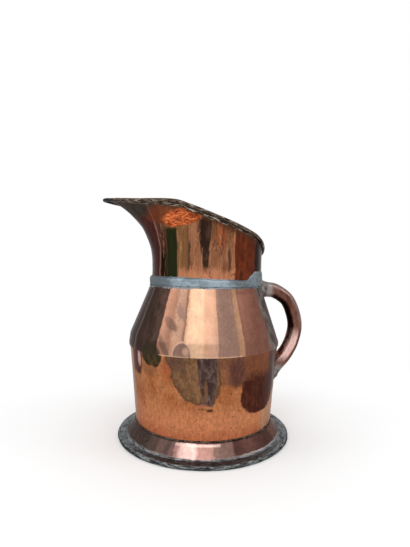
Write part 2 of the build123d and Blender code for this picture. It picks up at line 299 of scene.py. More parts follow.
def helmet_point(column, height, growth=0.0):
    """A point of the helmet. Columns run from the nose, 0, past the back, 2, to the nose, 4."""
    lean = curved_through(FRONT_LINE, height + 0.5) - curved_through(FRONT_LINE, height - 0.5)
    front = curved_through(FRONT_LINE, height) + growth * hypot(1, lean)
    side = curved_through(SIDE_LINE, height) + growth
    nose = curved_through(NOSE_LINE, height) + growth
    mirrored = 1 if column > 2 else -1
    share = column if column <= 2 else 4 - column
    if share >= 1:
        turn = radians(90 * (share - 1))
        return COLLAR_SHIFT + side * sin(turn), mirrored * side * cos(turn), height
    fullness = sqrt(2 / 3 * (1 - SIDE_FULLNESS) * front * nose)
    t, s = share, 1 - share
    x = -front * (s**3 + 3 * s**2 * t) - 3 * s * t**2 * SIDE_FULLNESS * front
    y = 3 * s**2 * t * fullness + 3 * s * t**2 * side + t**3 * side
    return COLLAR_SHIFT + x, mirrored * y, height


def rim_height(column):
    """The height at which a column of the helmet meets the rim."""
    low, high = 205.0, 310.0
    for _ in range(26):
        middle = (low + high) / 2
        x = helmet_point(column, middle)[0]
        if middle < curved_through(RIM, x):
            low = middle
        else:
            high = middle
    return low


def helmet_columns(per_quarter=60):
    """Columns round the helmet, closest together at the nose."""
    near = [(index / per_quarter) ** 1.25 for index in range(per_quarter)]
    back = [1 + index / per_quarter for index in range(per_quarter)]
    half = near + back
    return half + [2.0] + [4 - column for column in reversed(half[1:])]


def spout_dent(x, y, z):
    """How far the spout's sheet is knocked in."""
    fade = eased(206, 216, z)
    return fade * (0.25 + 0.22 * lumps(x, y, 0.45 * z, 17, 4.1) + 0.12 * lumps(x, y, z, 8, 1.7))


def tube_loops(path, radii, sides):
    """Round loops along a closed path of points, square to it."""
    loops = []
    across = Vector((0, 0, 1))
    for index, point in enumerate(path):
        ahead = path[(index + 1) % len(path)]
        along = (Vector(ahead) - Vector(path[index - 1])).normalized()
        first = (across - along * across.dot(along)).normalized()
        second = along.cross(first)
        ring = []
        for turn in turns_round(sides):
            radius = radii(index, turn)
            ring.append(tuple(Vector(point) + radius * (cos(turn) * first + sin(turn) * second)))
        loops.append(ring)
    return loops


# Finishes

def shade(red, green, blue):
    """A colour as it looks on a screen, from 0 to 255, turned to the amounts of light."""
    amounts = []
    for part in (red, green, blue):
        part = part / 255
        amounts.append(part / 12.92 if part <= 0.04045 else ((part + 0.055) / 1.055) ** 2.4)
    return (*amounts, 1.0)


# The side that the photo shows, in degrees round the axis from the handle
PHOTO_SIDE = -100.0

# Tarnish dulls the metal where it is seen along its surface
EDGE_TINT = (0.62, 0.6, 0.6, 1.0)


def add_node(tree, kind, feeds=None, **settings):
    """A node whose named sockets are linked to outputs or set. Colours are given as on a screen."""
    node = tree.nodes.new(kind)
    for name, value in settings.items():
        setattr(node, name, value)
    for name, source in (feeds or {}).items():
        socket = node.inputs[name]
        if isinstance(source, bpy.types.NodeSocket):
            tree.links.new(source, socket)
        else:
            socket.default_value = shade(*source) if socket.type == "RGBA" else source
    return node


class Finish:
    """A material built up step by step: patterns, then colours laid over one another."""

    def __init__(self, name, metallic=1.0):
        self.material = bpy.data.materials.new(name)
        self.material.use_nodes = True
        self.tree = self.material.node_tree
        self.shader = self.tree.nodes["Principled BSDF"]
        self.shader.inputs["Metallic"].default_value = metallic
        self.shader.inputs["Specular Tint"].default_value = EDGE_TINT
        self.place = self.add("TexCoord").outputs["Object"]
        self.colour = None

    def add(self, kind, feeds=None, **settings):
        return add_node(self.tree, "ShaderNode" + kind, feeds, **settings)

    def maths(self, operation, *values):
        return self.add("Math", dict(enumerate(values)), operation=operation).outputs[0]

    def both(self, first, second):
        """1 only where both patterns are."""
        return self.maths("MULTIPLY", first, second)

    def either(self, first, second):
        """1 where one of the patterns is."""
        return self.maths("MAXIMUM", first, second)

    def added(self, measure, pattern, amount):
        """A measure with an amount of a pattern added."""
        return self.maths("MULTIPLY_ADD", pattern, amount, measure)

    def moved(self, measure, pattern, amount):
        """A measure pushed up and down by a pattern, by the amount from its least to its most."""
        return self.maths("ADD", measure, self.maths("MULTIPLY_ADD", pattern, amount, -amount / 2))

    def stretched(self, around, up):
        """The place on the piece, measured in sizes across it and up it, in millimetres."""
        scale = [1 / (size * MM) for size in (around, around, up)]
        return self.add("Mapping", {"Vector": self.place, "Scale": scale}).outputs[0]

    def attribute(self, name):
        """A measure kept on the mesh."""
        return self.add("Attribute", attribute_name=name).outputs["Fac"]

    def placed(self, *measures):
        """Up to three measures as a place for a pattern."""
        return self.add("CombineXYZ", dict(enumerate(measures))).outputs[0]

    def noise(self, place, detail=3.0, roughness=0.55, distortion=0.0):
        """Noise about 0 to 1 at a place measured in patches."""
        return self.add("TexNoise", {
            "Vector": place, "Scale": 1.0, "Detail": detail, "Roughness": roughness, "Distortion": distortion,
        }).outputs["Fac"]

    def cloud(self, around, up, **settings):
        """Noise about 0 to 1, whose patches are as large as the sizes."""
        return self.noise(self.stretched(around, up), **settings)

    def dots(self, around, up, radius):
        """Small spots, one to each cell of the sizes, as large as a share of it."""
        cells = self.add("TexVoronoi", {"Vector": self.stretched(around, up), "Scale": 1.0})
        return self.between(cells.outputs["Distance"], radius, radius / 2)

    def veins(self, pattern, width):
        """Thin wandering lines through a pattern."""
        return self.between(self.maths("ABSOLUTE", self.maths("SUBTRACT", pattern, 0.5)), width, width / 3)

    def between(self, value, low, high, bottom=0.0, top=1.0):
        """Bottom where the value is at low, top where it is at high, smooth from one to the other."""
        return self.add("MapRange", {
            "Value": value, "From Min": low, "From Max": high, "To Min": bottom, "To Max": top,
        }, interpolation_type="SMOOTHSTEP").outputs["Result"]

    def mixed(self, share, first, second, blend="MIX"):
        """Two colours mixed by a share, or by a share of one laid over the other."""
        feeds = {0: share, 6: first, 7: second}
        return self.add("Mix", feeds, data_type="RGBA", blend_type=blend).outputs[2]

    def tone(self, first, second, pattern, low, high):
        """A colour that goes from the first to the second as a pattern goes from low to high."""
        return self.mixed(self.between(pattern, low, high), first, second)

    def paint(self, colour, strength, *where):
        """Lays a colour, as strongly as it says, where all of the patterns are 1."""
        share = where[0]
        for pattern in where[1:]:
            share = self.both(share, pattern)
        if strength < 1:
            share = self.both(share, strength)
        self.colour = self.mixed(share, self.colour, colour)

    def band(self, colour, strength, left, right, *where, edge=0.8):
        """Lays a colour on an upright band, or on the parts of it where the other patterns are 1."""
        self.paint(colour, strength, self.upright(left, right, edge), *where)

    def spot(self, colour, strength, *sizes, **outline):
        """Lays a colour on a ragged patch."""
        self.paint(colour, strength, self.blotch(*sizes, **outline))

    def vary(self, pattern, dark, light, low=0.32, high=0.68):
        """Makes the colour darker and lighter with a pattern."""
        shades = self.between(pattern, low, high, dark, light)
        self.colour = self.mixed(1.0, self.colour, shades, blend="MULTIPLY")

    def measure(self, centre_shift=0.0):
        """Degrees round the axis from the side the photo shows, and the height in millimetres."""
        moved = self.add("Mapping", {"Vector": self.place, "Location": (-centre_shift * MM, 0, 0)}).outputs[0]
        turned = self.add("Mapping", {"Vector": moved, "Rotation": (0, 0, radians(-PHOTO_SIDE))}).outputs[0]
        parts = self.add("SeparateXYZ", {0: turned}).outputs
        angle = self.maths("ARCTAN2", parts["Y"], parts["X"])
        self.across = self.maths("MULTIPLY", angle, degrees(1))
        self.bent = self.across
        self.height = self.maths("MULTIPLY", parts["Z"], 1 / MM)

    def outward(self):
        """The distance from the axis in millimetres."""
        feeds = {0: self.place, 1: (1 / MM, 1 / MM, 0)}
        flat = self.add("VectorMath", feeds, operation="MULTIPLY").outputs[0]
        return self.add("VectorMath", {0: flat}, operation="LENGTH").outputs["Value"]

    def within(self, measure, low, high, edge):
        """1 where a measure lies between low and high."""
        above = self.between(measure, low - edge, low + edge)
        return self.both(above, self.between(measure, high + edge, high - edge))

    def upright(self, left, right, edge=0.8):
        """1 on an upright band between two places round, given in degrees."""
        return self.within(self.bent, left, right, edge)

    def level(self, low, high, edge=3.0):
        """1 between two heights."""
        return self.within(self.height, low, high, edge)

    def blotch(self, centre, middle, half_angle, half_height, edge=0.08, ragged=0.3, lean=0.0, power=2.0):
        """A ragged patch at degrees round and a height. It leans by degrees for each millimetre down."""
        across = self.added(self.across, self.height, lean) if lean else self.across
        centre = centre + lean * middle
        parts = []
        for measure, at, half in ((across, centre, half_angle), (self.height, middle, half_height)):
            aside = self.maths("ABSOLUTE", self.maths("MULTIPLY_ADD", measure, 1 / half, -at / half))
            parts.append(self.maths("POWER", aside, power))
        reach = self.maths("POWER", self.maths("ADD", *parts), 1 / power)
        return self.between(self.moved(reach, self.wander, ragged * 2), 1 + edge, 1 - edge)

    def rough(self, pattern, least, most):
        """A roughness that follows a pattern."""
        return self.between(pattern, 0.3, 0.7, least, most)

    def finish(self, roughness, relief, depth):
        """Joins the patterns to the shader. Depth is that of the relief in millimetres."""
        bump = self.add("Bump", {"Strength": 1.0, "Distance": depth * MM, "Height": relief}).outputs[0]
        for name, source in (("Base Color", self.colour), ("Roughness", roughness), ("Normal", bump)):
            self.tree.links.new(source, self.shader.inputs[name])
        return self.material


def drum_copper():
    """The drum: orange below, with brown, olive and dark red patches reaching down from the shoulder."""
    work = Finish("drum_copper")
    work.measure()
    work.wander = work.cloud(13, 17, detail=7, roughness=0.62)
    streaks = work.cloud(1.0, 26, detail=5, roughness=0.65)
    mottle = work.cloud(19, 24, detail=7, roughness=0.65)
    smear = work.cloud(6, 13, detail=6, roughness=0.65, distortion=0.9)
    grain = work.cloud(1.4, 2.2, detail=5, roughness=0.7)
    flecks = work.cloud(3.4, 5.0, detail=6, roughness=0.75)
    scratches = work.veins(work.cloud(24, 5.0, detail=5, distortion=0.8), 0.012)
    work.bent = work.moved(work.across, work.wander, 4.0)

    work.colour = work.tone((178, 118, 76), (160, 94, 57), mottle, 0.34, 0.66)
    work.paint((204, 132, 92), 0.8, work.between(work.height, 72, 44))
    work.paint((176, 98, 65), 0.6, work.between(work.height, 40, 27))
    work.paint((166, 84, 52), 0.4, work.between(smear, 0.52, 0.68))
    work.paint((212, 156, 112), 0.35, work.between(streaks, 0.54, 0.74))
    work.band((190, 146, 112), 0.75, 50, 74, edge=5)

    tarnish = work.between(work.cloud(40, 55, detail=6, distortion=0.6), 0.5, 0.54)
    high = work.between(work.height, 58, 92)
    away = work.between(work.maths("ABSOLUTE", work.across), 78, 96)
    spread = work.both(work.both(tarnish, high), away)
    work.paint((92, 58, 42), 0.85, spread)

    work.spot((160, 84, 56), 0.6, -26, 104, 5, 13, edge=0.4, ragged=0.5)
    work.spot((120, 78, 57), 1, 26, 124, 21, 38, edge=0.1, ragged=0.3, power=3)
    work.spot((82, 52, 47), 0.8, 24, 105, 7, 17, edge=0.5, ragged=0.7)
    work.spot((142, 92, 62), 0.6, 14, 97, 4, 12, edge=0.5, ragged=0.5)
    work.spot((116, 70, 48), 0.95, 49, 112, 20, 26, edge=0.2, ragged=0.4)
    red = work.blotch(47, 76, 19.5, 27.5, edge=0.05, ragged=0.16, power=2.8)
    soft_top = work.between(work.moved(work.height, smear, 12), 104, 88)
    red_tone = work.tone((64, 31, 23), (84, 45, 32), smear, 0.35, 0.7)
    work.paint(red_tone, 1, red, soft_top)

    work.paint((112, 52, 34), 0.75, work.dots(8, 10, 0.17), work.between(mottle, 0.42, 0.52))
    work.paint((136, 62, 34), 0.7, work.dots(17, 24, 0.16), work.between(smear, 0.44, 0.54))

    olive = work.blotch(-8, 118, 17.5, 53, edge=0.04, ragged=0.26, lean=0.12, power=2.6)
    inner = work.blotch(-8, 118, 16.2, 50.5, edge=0.05, ragged=0.26, lean=0.12, power=2.6)
    olive_tone = work.tone((142, 104, 74), (102, 73, 51), smear, 0.32, 0.66)
    work.paint(olive_tone, 1, olive)
    work.spot((90, 64, 56), 0.7, -18, 114, 7, 11, edge=0.5, ragged=0.6)
    work.paint((80, 54, 40), 0.7, work.maths("SUBTRACT", olive, work.both(olive, inner)))
    core = work.blotch(2.4, 118, 6.6, 53, edge=0.06, ragged=0.14, lean=0.03, power=2.2)
    work.paint(work.tone((66, 50, 47), (110, 88, 82), smear, 0.42, 0.68), 1, core)
    work.spot((118, 84, 60), 0.85, 1.9, 82, 1.3, 12, edge=0.3, ragged=0.3, lean=0.03)
    work.spot((66, 45, 38), 0.9, 4.9, 59.4, 2.6, 1.7, edge=0.3, ragged=0.6)
    work.spot((118, 84, 56), 0.7, -0.8, 61, 3.6, 1.8, edge=0.4, ragged=0.8)
    work.spot((132, 98, 98), 0.8, -0.1, 66.2, 2.8, 1.2, edge=0.4, ragged=0.7)

    left = work.blotch(-59, 118, 9.5, 26, edge=0.1, ragged=0.35, power=3)
    work.paint((80, 40, 32), 1, left, work.between(work.bent, -66, -64))
    work.spot((190, 156, 148), 1, -53.5, 111, 2.2, 9, edge=0.35, ragged=0.3)
    # A painted highlight: a pale strip down the drum's left side, where its edge catches the light.
    work.band((176, 142, 114), 0.4, -74, -65.5, work.level(28, 118), edge=1.5)
    work.spot((138, 88, 58), 0.75, -42, 103, 8, 10, edge=0.3, ragged=0.5)
    green_tone = work.tone((36, 38, 24), (74, 58, 40), smear, 0.36, 0.62)
    work.spot(green_tone, 1, -40, 120, 10, 14.5, edge=0.07, ragged=0.35, power=2.5)

    work.paint((140, 68, 42), 0.6, work.between(streaks, 0.42, 0.32), work.between(work.height, 76, 40))
    work.band((60, 37, 30), 0.75, 55, 80, work.level(66, 125), edge=4)
    tin = work.blotch(82, 116, 14, 54, edge=0.2, ragged=0.3)
    work.paint(work.mixed(grain, (28, 26, 25), (70, 66, 63)), 0.95, tin)
    work.band((214, 170, 138), 0.3, -32, 26, work.between(work.height, 119.6, 121))
    work.paint((104, 62, 44), 0.3, scratches)
    work.vary(smear, 0.9, 1.08)
    work.vary(flecks, 0.76, 1.17)
    work.vary(grain, 0.86, 1.1)

    dark_patches = work.either(work.either(red, olive), work.either(core, spread))
    rough = work.rough(streaks, 0.18, 0.3)
    rough = work.added(rough, grain, 0.1)
    rough = work.added(rough, dark_patches, 0.05)
    rough = work.added(rough, tin, 0.2)
    relief = work.added(work.cloud(14, 24, detail=2), streaks, 0.05)
    relief = work.added(relief, grain, 0.03)
    return work.finish(rough, relief, 0.3)


def cone_copper():
    """The shoulder: upright bands of painted reflection, bright and brown, down the cone, tinned beside the
    handle.
    """
    work = Finish("cone_copper")
    work.measure()
    work.wander = work.cloud(15, 26, detail=6, roughness=0.62)
    streaks = work.cloud(1.6, 150, detail=4, roughness=0.6)
    ribbons = work.cloud(7, 220, detail=3)
    mottle = work.cloud(11, 20, detail=6, roughness=0.62)
    grain = work.cloud(1.3, 3.5, detail=5, roughness=0.65)
    work.bent = work.moved(work.moved(work.across, streaks, 2.4), work.wander, 2.6)

    work.colour = work.tone((132, 92, 72), (108, 72, 56), mottle, 0.35, 0.65)
    work.band((150, 108, 84), 0.7, -165, -130, edge=6)
    # Painted reflections: most of the upright bands below are dark and bright surroundings mirrored in the
    # cone, laid into its colour, and the bright ones at the front are a painted highlight.
    work.band((58, 44, 38), 1, -96, -33)
    work.band((88, 66, 58), 0.6, -50, -36, work.between(ribbons, 0.4, 0.6), edge=4)
    work.band((126, 112, 102), 0.5, -60, -57.5)
    work.band((160, 116, 95), 1, -33.4, -13)
    work.band((204, 160, 134), 0.8, -23, -15.2, edge=2)
    work.band((134, 96, 82), 0.8, -14.6, -13.2, edge=0.4)
    work.band((200, 154, 126), 1, -13.2, 10.4)
    work.band((220, 180, 146), 0.85, -12.4, 0, edge=1.5)
    work.band((202, 158, 140), 0.55, -12, 9, work.between(ribbons, 0.5, 0.62))
    work.band((150, 117, 103), 1, 10.4, 24.5)
    work.band((172, 130, 102), 1, 24.5, 29.3)
    work.band((128, 88, 74), 1, 29.3, 60)
    work.band((106, 66, 53), 0.6, 34, 60, work.between(mottle, 0.42, 0.58), edge=3)

    work.spot((216, 172, 148), 0.7, -14.7, 123, 7.0, 15, edge=0.05, ragged=0.12)
    work.spot((124, 95, 86), 0.85, -14.7, 123, 6.1, 13.2, edge=0.07, ragged=0.12)
    # A painted highlight inside the round patch, on its right.
    work.spot((200, 156, 136), 0.8, -11.8, 127.5, 2.2, 4.2, edge=0.5, ragged=0.4)
    smudge = work.blotch(-25.5, 156, 4.4, 8, edge=0.25, ragged=0.3, lean=0.5)
    smudge = work.either(smudge, work.blotch(-28.5, 131, 2.6, 12, edge=0.25, ragged=0.3, lean=0.34))
    work.paint((108, 84, 72), 0.7, smudge)
    work.spot((140, 112, 102), 0.7, -18, 169, 3.4, 9, edge=0.4, ragged=0.4, lean=0.3)
    work.spot((58, 50, 38), 0.9, -39, 120, 9.5, 13, edge=0.12, ragged=0.4)

    edge = work.moved(work.across, work.wander, 16)
    tin = work.both(work.between(edge, 54, 60), work.between(edge, 150, 142))
    work.paint(work.tone((66, 62, 60), (138, 130, 126), mottle, 0.3, 0.7), 1, tin)
    work.paint((96, 74, 64), 0.6, tin, work.between(streaks, 0.45, 0.6))
    drips = work.moved(work.height, work.wander, 9)
    work.paint((146, 150, 152), 0.8, work.between(drips, 195.6, 197.2))
    lap = work.between(work.height, 121.9, 121.3)
    work.band((224, 184, 150), 0.7, -31, 27, lap, work.between(mottle, 0.36, 0.52))
    work.vary(mottle, 0.9, 1.07)
    work.vary(streaks, 0.92, 1.05)
    work.vary(grain, 0.9, 1.06)

    rough = work.rough(streaks, 0.26, 0.36)
    rough = work.added(rough, tin, 0.16)
    relief = work.added(work.cloud(18, 60, detail=2), streaks, 0.03)
    return work.finish(rough, relief, 0.25)


def spout_copper():
    """The helmet: upright bands of painted reflection in orange, brown and near black, with bright copper
    under the rim.
    """
    work = Finish("spout_copper")
    work.measure(COLLAR_SHIFT)
    work.wander = work.cloud(12, 26, detail=5, roughness=0.6)
    streaks = work.cloud(1.6, 60, detail=4, roughness=0.6)
    ribbons = work.cloud(5, 110, detail=3)
    mottle = work.cloud(9, 15, detail=6, roughness=0.62)
    grain = work.cloud(1.3, 2.6, detail=5, roughness=0.65)
    dark_veins = work.veins(work.cloud(13, 75, detail=4, distortion=0.5), 0.016)
    pale_veins = work.veins(work.cloud(11, 170, detail=4, distortion=0.2), 0.01)
    work.bent = work.moved(work.moved(work.across, streaks, 3.0), work.wander, 7.0)

    work.colour = work.tone((134, 82, 54), (96, 58, 42), mottle, 0.35, 0.65)
    # Painted reflections: the upright bands below are the surroundings mirrored in the collar, laid into its
    # colour.
    work.band((74, 38, 33), 1, -96, -52, edge=2)
    work.band((50, 27, 24), 0.85, -96, -55, work.between(ribbons, 0.42, 0.58))
    work.band((132, 100, 84), 0.7, -54.4, -52.4, edge=0.6)
    work.band((80, 48, 38), 1, -52, -42.5)
    work.band((24, 16, 14), 0.95, -52, -42.5, work.between(work.height, 256, 232))
    green = work.both(work.upright(-42.5, -29.6), work.between(work.height, 274, 266))
    work.band((128, 88, 56), 1, -42.5, -18)
    work.band((154, 102, 73), 1, -18, 26)
    thin = work.both(work.upright(-18.4, -15.6, edge=0.5), work.level(212, 252, edge=5))
    thin = work.either(thin, work.both(work.upright(20.6, 22.6, edge=0.5), work.level(214, 244, edge=4)))
    work.paint((66, 46, 38), 0.85, thin)
    work.band((112, 66, 44), 0.5, 6, 26, work.between(mottle, 0.48, 0.58), edge=2)
    shaded = work.between(work.moved(work.height, mottle, 30), 240, 262)
    work.band((108, 70, 44), 0.8, 3, 26, shaded)
    work.spot((162, 88, 56), 0.7, 13, 258, 5, 12, edge=0.4, ragged=0.6)
    off_line = work.maths("ABSOLUTE", work.moved(work.maths("ADD", work.across, 1.6), work.wander, 5.0))
    half_width = work.between(work.height, 214, 270, 2.4, 5.4)
    stripe = work.between(work.maths("DIVIDE", off_line, half_width), 1.15, 0.9)
    stripe = work.both(stripe, work.level(214, 292, edge=3))
    work.paint(work.tone((34, 24, 20), (72, 55, 46), mottle, 0.42, 0.68), 0.95, stripe)
    work.band((104, 48, 28), 1, 27, 66)
    work.band((126, 62, 37), 0.5, 29, 44, work.between(mottle, 0.42, 0.64), edge=4)
    work.band((74, 34, 24), 0.5, 29, 58, work.between(mottle, 0.52, 0.38), edge=4)
    work.band((176, 116, 84), 0.8, 25.8, 27.2, edge=0.5)
    work.band((20, 13, 10), 0.95, 55, 84, edge=3)

    low = work.between(work.moved(work.height, mottle, 26), 224, 212)
    work.band((204, 134, 98), 0.7, -28, 26, low)
    work.band((56, 36, 30), 0.6, -50, 56, dark_veins, edge=4)
    work.band((206, 148, 112), 0.4, -50, 25, pale_veins)
    work.paint(work.mixed(ribbons, (27, 32, 16), (46, 46, 28)), 1, green)
    glow = work.blotch(-32, 286, 27, 14, edge=0.25, ragged=0.4)
    work.paint((108, 55, 34), 0.8, glow)
    flame = work.blotch(-22, 281.5, 19.5, 11, edge=0.16, ragged=0.3, lean=-0.8)
    tongues = work.cloud(11, 4.2, detail=6, roughness=0.66, distortion=2.0)
    flame_tone = work.tone((128, 52, 28), (226, 122, 70), tongues, 0.38, 0.62)
    work.paint(flame_tone, 1, flame)
    flickers = work.both(work.veins(tongues, 0.02), work.either(flame, work.both(glow, 0.6)))
    work.paint((96, 46, 30), 0.75, flickers)
    beak = work.blotch(-84, 302, 36, 20, edge=0.25, ragged=0.4)
    work.paint(work.mixed(mottle, (32, 28, 25), (78, 68, 59)), 1, beak)

    # Under the rim: a dark band, partly painted shade cast by the rim, streaked pale partly with tin and
    # partly with painted highlights.
    below = work.attribute("below_rim")
    smeared = work.between(work.moved(below, mottle, 0.016), 0.013, 0.006)
    smear_tone = work.mixed(mottle, (58, 36, 25), (96, 60, 40))
    work.band(smear_tone, 0.85, -46, 58, smeared, edge=4)
    depth = work.between(work.across, 50, -50, 0.0045, 0.0085)
    under = work.between(work.maths("DIVIDE", work.moved(below, mottle, 0.008), depth), 1.1, 0.8)
    along = work.maths("DIVIDE", work.attribute("along_rim"), 0.011)
    tin_and_glints = work.noise(work.placed(along, work.maths("DIVIDE", below, 0.0014)), detail=4, roughness=0.6)
    work.paint(work.tone((46, 38, 32), (150, 136, 120), tin_and_glints, 0.46, 0.66), 0.95, under)
    work.band((196, 188, 172), 0.8, -24, 14, work.between(tin_and_glints, 0.52, 0.6), under, edge=6)
    work.vary(ribbons, 0.88, 1.1)
    work.vary(streaks, 0.88, 1.06)
    work.vary(grain, 0.86, 1.08)

    rough = work.rough(streaks, 0.2, 0.32)
    rough = work.added(rough, beak, 0.16)
    relief = work.added(work.cloud(9, 24, detail=2), streaks, 0.08)
    return work.finish(rough, relief, 0.25)


def foot_copper():
    """The foot: a purple-brown skirt with upright bands of painted reflection and a painted highlight down
    its front, and a grey mottled flange.
    """
    work = Finish("foot_copper")
    work.measure()
    work.wander = work.cloud(8, 8, detail=5)
    streaks = work.cloud(2.4, 9, detail=4)
    mottle = work.cloud(5, 5, detail=6, roughness=0.65)
    grain = work.cloud(1.2, 1.2, detail=5, roughness=0.65)
    work.bent = work.moved(work.across, work.wander, 5.0)

    work.colour = work.tone((112, 78, 66), (82, 58, 52), mottle, 0.35, 0.65)
    # Painted reflections: the upright bands below are the surroundings mirrored in the skirt, laid into its
    # colour; the bright front ones and the pale line at the bend are a painted highlight.
    work.band((58, 48, 43), 1, -92, -34, edge=5)
    work.band((84, 66, 60), 0.7, -80, -30, work.between(streaks, 0.44, 0.6), edge=5)
    work.band((52, 43, 38), 0.7, -37, -29, edge=2)
    work.band((80, 62, 57), 1, -33, -23, edge=1.5)
    work.band((108, 84, 80), 1, -23, -20, edge=1.5)
    work.band((165, 123, 113), 1, -20, 8)
    work.band((220, 182, 173), 0.95, -17, -4.5, edge=1.5)
    work.band((126, 98, 90), 1, 8, 22)
    work.band((76, 51, 45), 1, 22, 62, edge=2)
    work.band((236, 202, 190), 0.7, -20, 13, work.level(17.5, 19.5, edge=1))

    edge = work.moved(work.height, work.wander, 3.0)
    flat = work.between(edge, 7.2, 6.2)
    work.paint(work.tone((84, 87, 91), (146, 151, 154), mottle, 0.3, 0.7), 1, flat)
    work.band((94, 78, 74), 0.9, -30, 42, streaks, flat, edge=10)
    round_ring = [
        work.maths("DIVIDE", measure, size)
        for measure, size in ((work.across, 4.5), (work.outward(), 1.5), (work.height, 1.5))]
    scoring = work.noise(work.placed(*round_ring), detail=5, roughness=0.62, distortion=0.4)
    work.paint((200, 205, 206), 0.7, flat, work.between(scoring, 0.4, 0.32))
    work.paint((30, 31, 33), 0.8, flat, work.between(scoring, 0.51, 0.6))
    work.paint((60, 64, 68), 0.6, flat, work.between(mottle, 0.55, 0.66))
    fold = work.both(work.between(edge, 8.2, 7.4), work.between(edge, 6.2, 6.8))
    work.paint((170, 164, 160), 1, fold, work.between(work.across, 16, 40, 0.15, 0.7))
    rim = work.tone((142, 148, 146), (48, 50, 51), scoring, 0.36, 0.56)
    work.paint(rim, 1, work.between(work.height, 5.0, 4.1))
    beside = work.between(work.maths("ABSOLUTE", work.across), 35, 70)
    work.paint((26, 26, 27), 0.85, work.between(work.height, 4.4, 3.6), beside)
    work.paint((46, 36, 33), 0.85, work.between(edge, 19.6, 21.2))
    work.vary(mottle, 0.88, 1.1)
    work.vary(grain, 0.9, 1.07)

    rough = work.rough(streaks, 0.24, 0.36)
    rough = work.added(rough, flat, 0.2)
    relief = work.added(work.cloud(12, 8, detail=2), mottle, 0.5)
    relief = work.added(relief, work.both(scoring, flat), -0.5)
    return work.finish(rough, relief, 0.3)


def handle_copper():
    """The handle: dark red-brown, with painted shade nearly black inside the loop and a painted highlight low
    down.
    """
    work = Finish("handle_copper")
    parts = work.add("SeparateXYZ", {0: work.place}).outputs
    work.height = work.maths("MULTIPLY", parts["Z"], 1 / MM)
    out = work.maths("MULTIPLY", parts["X"], 1 / MM)
    mottle = work.cloud(7, 12, detail=6, roughness=0.62)
    streaks = work.cloud(2.5, 14, detail=4)
    grain = work.cloud(1.2, 2.4, detail=5, roughness=0.65)
    edge = work.moved(work.attribute("outer_side"), mottle, 0.7)

    work.colour = work.tone((92, 57, 47), (122, 84, 70), mottle, 0.35, 0.65)
    work.paint((138, 114, 108), 0.75, work.between(edge, 0.1, 0.5), work.between(work.height, 132, 152))
    highlight_height = work.both(work.between(work.height, 88, 104), work.between(work.height, 142, 122))
    face = work.both(work.between(edge, -0.98, -0.7), work.between(edge, 0.42, 0.12))
    # Painted shade: nearly black on the inside of the loop, high up.
    work.paint((46, 23, 18), 0.9, work.between(edge, -0.35, -0.62), work.between(work.height, 128, 142))
    # A painted highlight low down on the side of the tube, with painted shade along its outer third.
    work.paint((232, 190, 180), 0.95, highlight_height, face)
    work.paint((70, 42, 35), 0.8, highlight_height, work.between(edge, 0.45, 0.75))
    root = work.both(work.between(work.moved(out, mottle, 10), 97, 90), work.between(work.height, 160, 170))
    work.paint(work.mixed(mottle, (112, 98, 94), (184, 174, 170)), 0.9, root)
    end = work.between(work.moved(work.height, mottle, 12), 92, 82)
    work.paint(work.mixed(grain, (92, 87, 83), (172, 165, 159)), 0.9, end)
    work.paint((206, 176, 168), 0.6, work.between(streaks, 0.62, 0.72), work.between(edge, 0.3, 0.7))
    work.vary(streaks, 0.84, 1.1)
    work.vary(grain, 0.84, 1.08)

    rough = work.rough(mottle, 0.2, 0.36)
    relief = work.added(mottle, grain, 0.15)
    return work.finish(rough, relief, 0.25)


def rim_copper():
    """The rolled rim: dull dark copper, with pale streaks along it, partly tin and partly painted highlight.
    """
    work = Finish("rim_copper")
    grain = work.cloud(1.3, 1.3, detail=4)
    mottle = work.cloud(9, 5, detail=5)
    along = work.attribute("along_rim")
    around = (work.attribute("rim_out"), work.attribute("rim_up"))
    tin_and_glints = work.noise(work.placed(work.maths("DIVIDE", along, 0.007), *around), detail=5, roughness=0.6)
    work.colour = work.tone((40, 33, 29), (84, 70, 60), mottle, 0.4, 0.62)
    # Pale streaks along the rim: partly tin, partly painted highlight.
    work.paint((122, 106, 92), 0.7, work.between(tin_and_glints, 0.42, 0.6))
    work.paint((184, 174, 160), 0.7, work.between(tin_and_glints, 0.56, 0.68))
    work.paint((36, 35, 35), 0.8, work.between(along, 0.034, 0.016))
    work.vary(grain, 0.8, 1.15)
    rough = work.rough(mottle, 0.3, 0.5)
    return work.finish(rough, work.maths("ADD", tin_and_glints, grain), 0.35)


def tinned_inside():
    """Old tin lining: dull grey, streaked and worn through to brown in places."""
    work = Finish("tinned_inside", metallic=0.85)
    mottle = work.cloud(14, 22, detail=6, roughness=0.62)
    streaks = work.cloud(3, 40, detail=4)
    grain = work.cloud(1.5, 3, detail=4)
    work.colour = work.tone((104, 101, 96), (146, 143, 137), mottle, 0.35, 0.7)
    work.paint((98, 78, 62), 0.5, work.between(streaks, 0.5, 0.7))
    work.vary(grain, 0.86, 1.08)
    rough = work.rough(mottle, 0.42, 0.58)
    return work.finish(rough, work.maths("ADD", mottle, streaks), 0.2)


